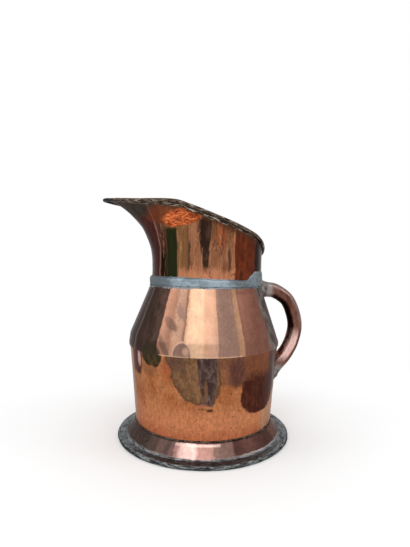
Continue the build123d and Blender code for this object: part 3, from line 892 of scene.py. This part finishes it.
def grey_solder():
    """Wiped solder: blue-grey, with a painted highlight at the front and on its ridges, and painted shade on
    its left side and in its hollows.
    """
    work = Finish("grey_solder", metallic=0.9)
    work.measure()
    broad = work.cloud(26, 18, detail=3)
    mottle = work.cloud(5, 3.4, detail=6, roughness=0.65)
    grain = work.cloud(1.1, 1.1, detail=4)
    work.colour = work.tone((92, 101, 107), (134, 143, 148), mottle, 0.3, 0.7)
    # A painted highlight: paler at the front.
    work.band((160, 175, 186), 0.85, -30, 24, work.between(mottle, 0.25, 0.5), edge=9)
    work.paint((80, 86, 88), 0.45, work.between(broad, 0.54, 0.66))
    # Painted shade: darker on the left side.
    work.band((80, 92, 98), 0.6, -80, -38, edge=7)
    # Painted highlight on the ridges and painted shade in the hollows.
    work.paint((200, 205, 206), 0.6, work.between(grain, 0.6, 0.72))
    work.paint((48, 52, 52), 0.7, work.between(grain, 0.4, 0.3))
    rough = work.rough(mottle, 0.36, 0.54)
    return work.finish(rough, work.added(mottle, grain, 0.5), 0.5)


def joint_solder():
    """Solder in the joint above the foot: dark and dirty, grey-green and bright in specks."""
    work = Finish("joint_solder", metallic=0.9)
    mottle = work.cloud(6, 4, detail=5)
    grain = work.cloud(1.3, 1.3, detail=3)
    work.colour = work.tone((50, 37, 33), (98, 84, 74), mottle, 0.4, 0.66)
    work.paint((104, 112, 98), 0.8, work.between(mottle, 0.62, 0.7))
    work.paint((204, 204, 196), 0.8, work.between(grain, 0.64, 0.72))
    rough = work.rough(mottle, 0.38, 0.54)
    return work.finish(rough, work.maths("ADD", mottle, grain), 0.4)


def root_solder():
    """Solder at the handle's ends: grey and brown, wiped thin."""
    work = Finish("root_solder", metallic=0.9)
    mottle = work.cloud(5, 6, detail=5)
    grain = work.cloud(1.4, 2, detail=4)
    work.colour = work.tone((84, 74, 70), (146, 140, 138), mottle, 0.35, 0.68)
    work.paint((108, 116, 106), 0.6, work.between(grain, 0.58, 0.7))
    work.paint((48, 40, 36), 0.6, work.between(grain, 0.4, 0.3))
    rough = work.rough(mottle, 0.34, 0.5)
    return work.finish(rough, work.maths("ADD", mottle, grain), 0.4)


def iron_wire():
    """Drawn iron wire with a little rust."""
    work = Finish("iron_wire", metallic=0.9)
    rust = work.cloud(4, 4, detail=4)
    work.colour = work.tone((96, 94, 92), (96, 60, 42), rust, 0.45, 0.65)
    rough = work.rough(rust, 0.4, 0.6)
    return work.finish(rough, rust, 0.1)


drum_finish = drum_copper()
cone_finish = cone_copper()
spout_finish = spout_copper()
foot_finish = foot_copper()
handle_finish = handle_copper()
rim_finish = rim_copper()
tin_finish = tinned_inside()
solder_finish = grey_solder()
joint_finish = joint_solder()
root_finish = root_solder()
wire_finish = iron_wire()


# Drum

def drum_dent(x, y, z):
    """How far the drum's sheet is knocked in."""
    fade = eased(25, 34, z) * (1 - eased(112, 120, z))
    return fade * (0.28 + 0.24 * lumps(x, y, 0.6 * z, 30, 7.3) + 0.08 * lumps(x, y, z, 11, 2.2))


drum_heights = evenly(DRUM_FOOT, DRUM_TOP, 52)
drum_sheet = rolled_sheet(drum_heights, DRUM_WALL, DRUM_SHIFT, softness=0, dent=drum_dent, lapped_to=124)
new_piece("drum_wall", drum_sheet, [drum_finish, tin_finish], "drum")


# Shoulder

def cone_dent(x, y, z):
    """How far the shoulder's sheet is knocked in: broad flats from its planishing, and small dents."""
    fade = eased(124.5, 131, z) * (1 - eased(188, 195, z))
    flats = 0.3 * lumps(x, y, 0.3 * z, 22, 3.3)
    return fade * (0.34 + flats + 0.08 * lumps(x, y, z, 9, 5.2))


cone_heights = [120.7, 121.6, 122.6, 123.4, 124.2, 125.2] + evenly(126.5, 196.4, 46)
cone_heights += [197.4, 198.4, 199.6, 201.0, 202.0, 202.9]
cone_sheet = rolled_sheet(cone_heights, CONE_WALL, CONE_SHIFT, softness=1.2, dent=cone_dent, lapped_to=198)
new_piece("shoulder_sheet", cone_sheet, [cone_finish, tin_finish], "shoulder_cone")


# Spout

def spout_mesh():
    """The helmet's sheet and its rolled rim, as one mesh."""
    work = bmesh.new()
    columns = helmet_columns()
    rows = 64
    loops, rim_path, below_rim = [], [], []
    for column in columns:
        top = rim_height(column)
        outside, inside = [], []
        for height in evenly(COLLAR_FOOT, top, rows):
            x, y, z = helmet_point(column, height)
            away = Vector((x - COLLAR_SHIFT, y, 0)).normalized()
            near_rim = 1 - eased(top - 7, top - 2, height)
            push = spout_dent(x, y, z) * near_rim
            inner = helmet_point(column, height, -SHEET)
            outside.append((x - push * away.x, y - push * away.y, z))
            inside.append((inner[0] - push * away.x, inner[1] - push * away.y, z))
        loops.append(outside + inside[::-1])
        drops = [(Vector(point) - Vector(outside[-1])).length * MM for point in outside]
        below_rim += drops + drops[::-1]
        rim_path.append(helmet_point(column, top, RIM_STAND))
    add_loops(work, loops, paint=lambda index: 0 if index < rows else 1)

    def roll(index, turn):
        x, y, z = rim_path[index]
        return RIM_ROLL * (0.93 + 0.07 * lumps(x + 9 * cos(turn), y + 9 * sin(turn), z, 9, 6.1))

    sheet_faces = len(work.faces)
    add_loops(work, tube_loops(rim_path, roll, ROLL_SIDES))
    work.faces.ensure_lookup_table()
    for face in work.faces[sheet_faces:]:
        face.material_index = 2
    mesh = mesh_of(work)

    steps = [0.0]
    for point, following in zip(rim_path, rim_path[1:] + rim_path[:1]):
        steps.append(steps[-1] + (Vector(following) - Vector(point)).length * MM)
    from_nose = [min(distance, steps[-1] - distance) for distance in steps[:-1]]
    turns = turns_round(ROLL_SIDES)
    sheet_count, roll_count = len(below_rim), len(rim_path) * ROLL_SIDES
    keep_measure(mesh, "below_rim", below_rim + [0.0] * roll_count)
    keep_measure(mesh, "along_rim", [distance for distance in from_nose for _ in range(2 * rows)]
                 + [distance for distance in from_nose for _ in turns])
    keep_measure(mesh, "rim_out", [0.0] * sheet_count + [cos(turn) for _ in rim_path for turn in turns])
    keep_measure(mesh, "rim_up", [0.0] * sheet_count + [sin(turn) for _ in rim_path for turn in turns])
    return mesh, rim_path


spout_sheet, rim_path = spout_mesh()
new_piece("helmet_spout", spout_sheet, [spout_finish, tin_finish, rim_finish], "spout_collar")
wire_skin = skin_of(tube_loops(rim_path, lambda index, turn: RIM_WIRE, 8))
new_piece("rim_wire_inside", wire_skin, [wire_finish], "rim_wire")


# Foot

def bent_line(points, bend):
    """A line of points with its corners rounded."""
    line = [points[0]]
    for before, corner, after in zip(points, points[1:], points[2:]):
        into = Vector(corner) - Vector(before)
        out = Vector(after) - Vector(corner)
        turn = into.angle(out)
        back = bend * sin(turn / 2) / cos(turn / 2)
        start = Vector(corner) - into.normalized() * back
        end = Vector(corner) + out.normalized() * back
        for share in evenly(0, 1, 7):
            near = start.lerp(Vector(corner), share)
            far = Vector(corner).lerp(end, share)
            line.append(tuple(near.lerp(far, share)))
    line.append(points[-1])
    return line


def spread_out(line, longest):
    """The line with points added where its runs are long."""
    full = [line[0]]
    for start, end in zip(line, line[1:]):
        count = max(1, round((Vector(end) - Vector(start)).length / longest))
        full += [tuple(Vector(start).lerp(Vector(end), share)) for share in evenly(0, 1, count + 1)[1:]]
    return full


def foot_mesh():
    """The foot's skirt and flange, with its edge curled round the wire and knocked about."""
    line = spread_out(bent_line(FOOT_LINE, FOOT_BEND), 1.6)
    for step in range(1, 19):
        turn = radians(90 - CURL_TURN * step / 18)
        line.append((CURL_CENTRE[0] + CURL_RADIUS * cos(turn), CURL_CENTRE[1] + CURL_RADIUS * sin(turn)))
    upper, lower = [], []
    for index, point in enumerate(line):
        ahead = line[min(index + 1, len(line) - 1)]
        behind = line[max(index - 1, 0)]
        along = (Vector(ahead) - Vector(behind)).normalized()
        square = Vector((-along.y, along.x)) * SHEET / 2
        upper.append((point[0] + square.x, point[1] + square.y))
        lower.append((point[0] - square.x, point[1] - square.y))
    loop = upper + lower[::-1]
    loops = []
    for index in range(360):
        angle = radians(index)
        x, y = cos(angle), sin(angle)
        ring = []
        for radius, height in loop:
            out = eased(97, 112, radius)
            worn = out * (0.45 + 0.45 * lumps(110 * x, 110 * y, 0, 26, 8.4))
            lift = out * eased(1.0, 3.0, height) * 0.35 * lumps(110 * x, 110 * y, 0, 34, 2.9)
            knocks = 1 + lumps(95 * x, 95 * y, 1.5 * height, 18, 1.3)
            dent = (1 - out) * eased(30, 20, height) * 0.2 * knocks
            away = radius - worn - dent
            ring.append((away * x, away * y, max(height + lift, 0)))
        loops.append(ring)
    return skin_of(loops)


new_piece("foot_sheet", foot_mesh(), [foot_finish], "foot_skirt")


# Handle

def body_radius(height):
    """Outer radius and shift of what the handle's ends sit on."""
    if height < 121:
        return straight_through(DRUM_WALL, height), 0.0
    if height < 196:
        return straight_through(CONE_WALL, height), straight_through(CONE_SHIFT, height)
    return BAND_REACH, BAND_SHIFT


def handle_mesh():
    """The hollow handle, its ends cut to the body."""
    knots = [index / (len(HANDLE) - 1) for index in range(len(HANDLE))]
    across_line = [(knot, point[0]) for knot, point in zip(knots, HANDLE)]
    up_line = [(knot, point[1]) for knot, point in zip(knots, HANDLE)]

    def at(share, turn, inset):
        x, z = curved_through(across_line, share), curved_through(up_line, share)
        ahead = Vector((curved_through(across_line, share + 0.004), curved_through(up_line, share + 0.004)))
        along = (ahead - Vector((x, z))).normalized()
        radius = curved_through(HANDLE_RADII, share) - inset
        radius -= 0.18 + 0.18 * lumps(x + radius * cos(turn), radius * sin(turn), z, 14, 3.7)
        return (x - along.y * radius * cos(turn), radius * sin(turn), z + along.x * radius * cos(turn))

    def outside(share, turn, inset):
        x, y, z = at(share, turn, inset)
        radius, shift = body_radius(z)
        return hypot(x - shift, y) > radius - 0.4

    def end(turn, inset, inward, outward):
        for _ in range(24):
            middle = (inward + outward) / 2
            if outside(middle, turn, inset):
                outward = middle
            else:
                inward = middle
        return outward

    rows = 110
    sides = 48
    skins = []
    for inset in (0, SHEET):
        columns = []
        for turn in turns_round(sides):
            first = end(turn, inset, 0.0, 0.3)
            last = end(turn, inset, 1.0, 0.7)
            columns.append([at(share, turn, inset) for share in evenly(first, last, rows)])
        skins.append(columns)
    loops = [outer + inner[::-1] for outer, inner in zip(*skins)]
    mesh = skin_of(loops)
    outer_side = [cos(turn) for turn in turns_round(sides) for _ in range(2 * rows)]
    keep_measure(mesh, "outer_side", outer_side)
    return mesh


new_piece("handle_tube", handle_mesh(), [handle_finish], "handle")


# Solder

SOLDER_SIZES = ("Bead Radius", "Lump Length", "Lump Share", "Drop Spacing", "Drop Radius")


def solder_nodes():
    """Nodes that run a lumpy bead of solder along a line and leave drops of it there."""
    tree = bpy.data.node_groups.new("solder_run", "GeometryNodeTree")
    inputs = [("Line", "Geometry")] + [(size, "Float") for size in SOLDER_SIZES]
    for name, kind in inputs + [("Seed", "Int"), ("Finish", "Material")]:
        tree.interface.new_socket(name, in_out="INPUT", socket_type="NodeSocket" + kind)
    tree.interface.new_socket("Solder", in_out="OUTPUT", socket_type="NodeSocketGeometry")

    def add(kind, feeds=None, **settings):
        return add_node(tree, kind, feeds, **settings).outputs[0]

    def maths(operation, *values):
        return add("ShaderNodeMath", dict(enumerate(values)), operation=operation)

    given = add_node(tree, "NodeGroupInput").outputs
    radius = given["Bead Radius"]
    line = add("GeometryNodeMeshToCurve", {"Mesh": given["Line"]})
    steps = maths("MULTIPLY", radius, 0.6)
    fine = add("GeometryNodeResampleCurve", {"Curve": line, "Length": steps}, mode="LENGTH")
    place = add("GeometryNodeInputPosition")
    closeness = maths("DIVIDE", 1.0, given["Lump Length"])
    lump = add("ShaderNodeTexNoise", {"Vector": place, "Scale": closeness, "Detail": 3.0})
    swell = maths("MULTIPLY_ADD", maths("MULTIPLY_ADD", lump, 3.0, -1.5), given["Lump Share"], 1.0)
    ring = add("GeometryNodeCurvePrimitiveCircle", {"Resolution": 10, "Radius": 1.0})
    bead = add("GeometryNodeCurveToMesh", {
        "Curve": fine, "Profile Curve": ring, "Scale": maths("MULTIPLY", swell, radius), "Fill Caps": True,
    })
    pits = add("ShaderNodeTexNoise", {"Vector": place, "Scale": maths("MULTIPLY", closeness, 2.3)})
    pushed = maths("MULTIPLY", maths("SUBTRACT", pits, 0.5), maths("MULTIPLY", radius, given["Lump Share"]))
    normal = add("GeometryNodeInputNormal")
    outward = add("ShaderNodeVectorMath", {0: normal, "Scale": pushed}, operation="SCALE")
    bead = add("GeometryNodeSetPosition", {"Geometry": bead, "Offset": outward})

    reach = maths("MULTIPLY", radius, 0.7)
    aside = add("FunctionNodeRandomValue", {
        0: maths("MULTIPLY", reach, -1.0), 1: reach, "Seed": given["Seed"],
    }, data_type="FLOAT_VECTOR")
    swelled = add("FunctionNodeRandomValue", {
        0: (0.45, 0.45, 0.45), 1: (1.3, 1.3, 1.0), "Seed": maths("ADD", given["Seed"], 1.0),
    }, data_type="FLOAT_VECTOR")
    points = add("GeometryNodeCurveToPoints", {"Curve": line, "Length": given["Drop Spacing"]}, mode="LENGTH")
    points = add("GeometryNodeSetPosition", {"Geometry": points, "Offset": aside})
    drop = add("GeometryNodeMeshUVSphere", {"Segments": 8, "Rings": 5, "Radius": given["Drop Radius"]})
    drops = add("GeometryNodeInstanceOnPoints", {"Points": points, "Instance": drop, "Scale": swelled})
    joined = add_node(tree, "GeometryNodeJoinGeometry")
    for part in (bead, drops):
        tree.links.new(part, joined.inputs[0])
    real = add("GeometryNodeRealizeInstances", {"Geometry": joined.outputs[0]})
    finished = add("GeometryNodeSetMaterial", {"Geometry": real, "Material": given["Finish"]})
    add_node(tree, "NodeGroupOutput", {"Solder": finished})
    return tree


solder_tree = solder_nodes()


def solder_run(name, line, material, sizes, seed, replaced=None, closed=True):
    """A line of points made into a run of solder. Sizes are those of SOLDER_SIZES, in millimetres."""
    count = len(line)
    edges = [(index, (index + 1) % count) for index in range(count if closed else count - 1)]
    path = bpy.data.meshes.new(name + "_line")
    path.from_pydata([Vector(point) * MM for point in line], edges, [])
    holder = add_object(name + "_line", path)
    run = holder.modifiers.new("solder_run", "NODES")
    run.node_group = solder_tree
    inputs = [item for item in solder_tree.interface.items_tree if item.in_out == "INPUT"]
    sockets = {item.name: item.identifier for item in inputs}
    for size, value in zip(SOLDER_SIZES, sizes):
        run[sockets[size]] = value if size == "Lump Share" else value * MM
    run[sockets["Seed"]] = seed
    run[sockets["Finish"]] = material
    new_piece(name, modified(holder), [], replaced, sharp=80)


def seam_line(wall, shift, low, high):
    """The line of the solder beside the step of a lap."""
    line = []
    for height in evenly(low, high, 30):
        radius = straight_through(wall, height)
        angle = -(LAP_WIDTH / 2 + 0.5) / radius
        out = radius + 0.15
        line.append((straight_through(shift, height) + out * cos(angle), out * sin(angle), height))
    return line


def ring_line(radius, centre, height, count=240):
    """A ring round the jug. Its height is read for each direction."""
    directions = [(cos(turn), sin(turn)) for turn in turns_round(count)]
    return [(centre + radius * x, radius * y, height(x, y)) for x, y in directions]


for part, wall, shift, low, high, sizes, seed in (
    ("lower_seam", DRUM_WALL, DRUM_SHIFT, 24.5, 64.5, (1.0, 5, 0.45, 7, 1.2), 3),
    ("upper_seam", DRUM_WALL, DRUM_SHIFT, 99.5, 121.0, (1.0, 5, 0.45, 7, 1.2), 5),
    ("shoulder_seam", CONE_WALL, CONE_SHIFT, 121.7, 180.0, (1.0, 6, 0.45, 8, 1.25), 7),
):
    seam = seam_line(wall, shift, low, high)
    solder_run(part + "_bead", seam, solder_finish, sizes, seed, part + "_solder", closed=False)
foot_joint = ring_line(radius=90.05, centre=0, height=lambda x, y: 22.1)
solder_run("foot_joint_bead", foot_joint, joint_finish, (1.15, 6, 0.3, 9, 1.2), 11, "foot_solder")


def wiped(name, node, material, voxel=0.6, lump=0.3, size=5):
    """A packed solder joint made over as one soft, lumpy skin. Sizes are in millimetres."""
    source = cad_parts[node].data.copy()
    merged = bmesh.new()
    merged.from_mesh(source)
    bmesh.ops.remove_doubles(merged, verts=merged.verts, dist=0.01 * MM)
    merged.to_mesh(source)
    merged.free()
    block = add_object("solder_block", source)
    remesh = block.modifiers.new("skin", "REMESH")
    remesh.mode = "VOXEL"
    remesh.voxel_size = voxel * MM
    soft = block.modifiers.new("soft", "SMOOTH")
    soft.iterations = 3
    soft.factor = 0.5
    mesh = modified(block)
    mesh.materials.clear()
    for vertex in mesh.vertices:
        x, y, z = vertex.co / MM
        bumps = lumps(x, y, z, size, 2.6) + 0.5 * lumps(x, y, z, size / 2.4, 5.9)
        vertex.co += vertex.normal * MM * lump * bumps
    new_piece(name, mesh, [material], node, sharp=80)


def neck_lumps(x, y, height, size, seed, ring=74):
    """Lumps at a direction and a height round the neck, read along a ring of that radius."""
    return lumps(ring * x, ring * y, height, size, seed)


def band_foot(x, y):
    """The height of the neck band's lower edge, at a direction round the jug."""
    height = BAND_FOOT + 0.8 * eased(0.9, -0.7, x) + 0.7 * neck_lumps(x, y, 0, 11, 1.1)
    return height + 0.4 * neck_lumps(x, y, 9, 4, 3.3)


def band_top(x, y):
    """The height of its upper edge, which rises towards the spout's side."""
    height = BAND_TOP + 4.4 * eased(0.9, -0.7, x) + 0.6 * neck_lumps(x, y, 20, 12, 6.2)
    return height + 0.4 * neck_lumps(x, y, 31, 4, 8.1)


def band_mesh(columns=480, rows=13):
    """The band of solder round the neck, wide under the spout and narrow at the handle."""
    loops = []
    for turn in turns_round(columns):
        x, y = cos(turn), sin(turn)
        low, high = band_foot(x, y), band_top(x, y)
        ring = []
        for share in evenly(0, 1, rows):
            height = low - 0.4 + (high - low + 1.2) * share
            belly = 1 - (2 * share - 1) ** 6
            radius = BAND_OUTSIDE + (BAND_SWELL + BAND_CROWN * belly) * belly
            broad = neck_lumps(x, y, height, 6, 4.4, ring=75)
            small = neck_lumps(x, y, height, 2.4, 9.2, ring=75)
            radius += 0.22 * broad + 0.1 * small - 0.1
            ring.append((BAND_SHIFT + radius * x, radius * y, height))
        for height in (high, low):
            ring.append((BAND_SHIFT + BAND_INSIDE * x, BAND_INSIDE * y, height))
        loops.append(ring)
    return skin_of(loops)


def patch_mesh(columns=261, rows=15):
    """The solder wiped up the back of the spout above the band, thin at its ragged upper edge."""
    loops = []
    for column in range(columns):
        angle = PATCH_HALF_ANGLE * (2 * column / (columns - 1) - 1)
        x, y = cos(radians(angle)), sin(radians(angle))
        rise = eased(63, 42, abs(angle)) * (11.5 + 0.5 * x)
        ragged = 1.3 * neck_lumps(x, y, 3, 6, 7.7) + 0.6 * neck_lumps(x, y, 8, 2.4, 3.9)
        top = PATCH_FOOT + 0.6 + max(rise + ragged * min(rise / 4, 1), 0.4)
        thick = 0.25 + 1.15 * eased(64, 54, abs(angle))
        outside, inside = [], []
        for share in evenly(0, 1, rows):
            height = PATCH_FOOT + (top - PATCH_FOOT) * share
            swell = thick * (1 - share**5) * (1 + 0.3 * neck_lumps(x, y, height, 5, 6.6, ring=75))
            swell += 0.12 * neck_lumps(x, y, height, 2.4, 1.9, ring=75) * (1 - share)
            for side, radius in ((outside, PATCH_OUTSIDE + max(swell, 0.05)), (inside, PATCH_INSIDE)):
                side.append((COLLAR_SHIFT + radius * x, radius * y, height))
        loops.append(outside + inside[::-1])
    return skin_of(loops, closed=False)


new_piece("neck_band", band_mesh(), [solder_finish], "neck_solder", sharp=80)
upper_edge = ring_line(radius=73.0, centre=COLLAR_SHIFT, height=lambda x, y: band_top(x, y) + 0.5)
lower_edge = ring_line(radius=74.2, centre=1.7, height=lambda x, y: band_foot(x, y) - 0.2)
for name, line, seed in (("band_upper_edge", upper_edge, 13), ("band_lower_edge", lower_edge, 17)):
    solder_run(name, line, solder_finish, (0.6, 4, 0.6, 6, 0.9), seed)
new_piece("neck_patch", patch_mesh(), [solder_finish], "neck_patch_solder", sharp=80)
wiped("handle_root_solder", "handle_top_solder", root_finish)
wiped("handle_end_solder", "handle_bottom_solder", root_finish)

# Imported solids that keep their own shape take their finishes
for node, material in (
    ("base_plate", tin_finish),
    ("base_solder", solder_finish),
    ("shoulder_solder", solder_finish),
    ("foot_wire", wire_finish),
):
    for material_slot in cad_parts[node].material_slots:
        material_slot.material = material


# Floor, light and camera, in metres

HALF_FLOOR = 6
FADE_START = 0.14
FADE_END = 0.6
LAMP_TARGET = Vector((0, 0, 0.15))


def floor_paper():
    """White paper that keeps the jug's shadow and fades to the plain white background."""
    material = bpy.data.materials.new("floor_paper")
    material.use_nodes = True
    tree = material.node_tree
    paper = tree.nodes["Principled BSDF"]
    paper.inputs["Base Color"].default_value = (0.93, 0.93, 0.93, 1)
    paper.inputs["Roughness"].default_value = 0.9
    paper.inputs["Specular IOR Level"].default_value = 0.1
    place = add_node(tree, "ShaderNodeTexCoord").outputs["Object"]
    distance = add_node(tree, "ShaderNodeVectorMath", {0: place}, operation="LENGTH").outputs["Value"]
    far = add_node(
        tree, "ShaderNodeMapRange", {"Value": distance, "From Min": FADE_START, "From Max": FADE_END},
        interpolation_type="SMOOTHSTEP").outputs["Result"]
    seen = add_node(tree, "ShaderNodeLightPath").outputs["Is Camera Ray"]
    share = add_node(tree, "ShaderNodeMath", {0: far, 1: seen}, operation="MULTIPLY").outputs[0]
    plain = add_node(tree, "ShaderNodeEmission").outputs[0]
    blend = add_node(tree, "ShaderNodeMixShader", {0: share, 1: paper.outputs[0], 2: plain}).outputs[0]
    tree.links.new(blend, tree.nodes["Material Output"].inputs["Surface"])
    return material


floor_corners = [(x * HALF_FLOOR, y * HALF_FLOOR, 0) for x, y in ((-1, -1), (1, -1), (1, 1), (-1, 1))]
floor_mesh = bpy.data.meshes.new("floor")
floor_mesh.from_pydata(floor_corners, [], [(0, 1, 2, 3)])
floor_mesh.materials.append(floor_paper())
floor = add_object("floor", floor_mesh)
floor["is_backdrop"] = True

# The room is plain white to the eye and in the copper, and lights the jug a little less than that
world = bpy.data.worlds.new("studio")
world.use_nodes = True
bpy.context.scene.world = world
room = world.node_tree
background = room.nodes["Background"]
background.inputs["Color"].default_value = (1, 1, 1, 1)
rays = add_node(room, "ShaderNodeLightPath").outputs
seen = rays["Is Camera Ray"]
for ray in ("Is Glossy Ray", "Is Transmission Ray"):
    seen = add_node(room, "ShaderNodeMath", {0: seen, 1: rays[ray]}, operation="MAXIMUM").outputs[0]
strength = add_node(room, "ShaderNodeMapRange", {"Value": seen, "To Min": 0.95, "To Max": 1.0})
room.links.new(strength.outputs["Result"], background.inputs["Strength"])


def softbox(name, round_angle, rise, distance, size, power):
    """A soft lamp that looks at the jug's middle from an angle round it and above it."""
    lamp = bpy.data.lights.new(name, "AREA")
    lamp.shape = "RECTANGLE"
    lamp.size, lamp.size_y = size
    lamp.energy = power
    holder = add_object(name, lamp)
    direction = Vector((
        cos(radians(rise)) * cos(radians(round_angle)),
        cos(radians(rise)) * sin(radians(round_angle)),
        sin(radians(rise)),
    ))
    holder.location = LAMP_TARGET + distance * direction
    holder.rotation_euler = direction.to_track_quat("Z", "Y").to_euler()


softbox("front_light", PHOTO_SIDE - 4, rise=42, distance=1.3, size=(1.0, 0.8), power=2.6)
softbox("left_light", PHOTO_SIDE - 75, rise=35, distance=1.6, size=(0.6, 1.0), power=3)
softbox("right_light", PHOTO_SIDE + 80, rise=40, distance=1.6, size=(0.6, 1.0), power=3)

# The camera stands where the photo was taken from, held very slightly off level. Three of its
# measures are in the photo's pixels: the level of its horizon, its offset and its focal length
CAMERA_PLACE = Vector((-0.0962, -0.5456, 0.2284))
PICTURE_HEIGHT = 547
PICTURE_CENTRE = PICTURE_HEIGHT / 2
HORIZON = 261.8
AXIS_OFFSET = 0.5
FOCAL_PIXELS = 411.0
VIEW_ANGLE = 10.0
TILT = radians(0.6)
SENSOR_HEIGHT = 36.0
ahead = Vector((sin(radians(VIEW_ANGLE)), cos(radians(VIEW_ANGLE)), 0))
aside = Vector((cos(radians(VIEW_ANGLE)), -sin(radians(VIEW_ANGLE)), 0))
upright = Vector((0, 0, 1))
yaw = atan(AXIS_OFFSET / FOCAL_PIXELS)
pitch = atan((PICTURE_CENTRE - HORIZON) / FOCAL_PIXELS)
turned_ahead = ahead * cos(yaw) + aside * sin(yaw)
turned_aside = aside * cos(yaw) - ahead * sin(yaw)
forward = turned_ahead * cos(pitch) - upright * sin(pitch)
above = upright * cos(pitch) + turned_ahead * sin(pitch)
picture_right = cos(TILT) * turned_aside + sin(TILT) * above
picture_up = -sin(TILT) * turned_aside + cos(TILT) * above
camera_data = bpy.data.cameras.new("photo_camera")
camera_data.sensor_fit = "VERTICAL"
camera_data.sensor_height = SENSOR_HEIGHT
camera_data.lens = SENSOR_HEIGHT * FOCAL_PIXELS / PICTURE_HEIGHT
camera = add_object("photo_camera", camera_data)
turn = Matrix((picture_right, picture_up, -forward)).transposed()
camera.matrix_world = Matrix.Translation(CAMERA_PLACE) @ turn.to_4x4()
bpy.context.scene.camera = camera
bpy.context.scene.view_settings.view_transform = "Standard"

# The box round everything shown but the floor
low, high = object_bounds()
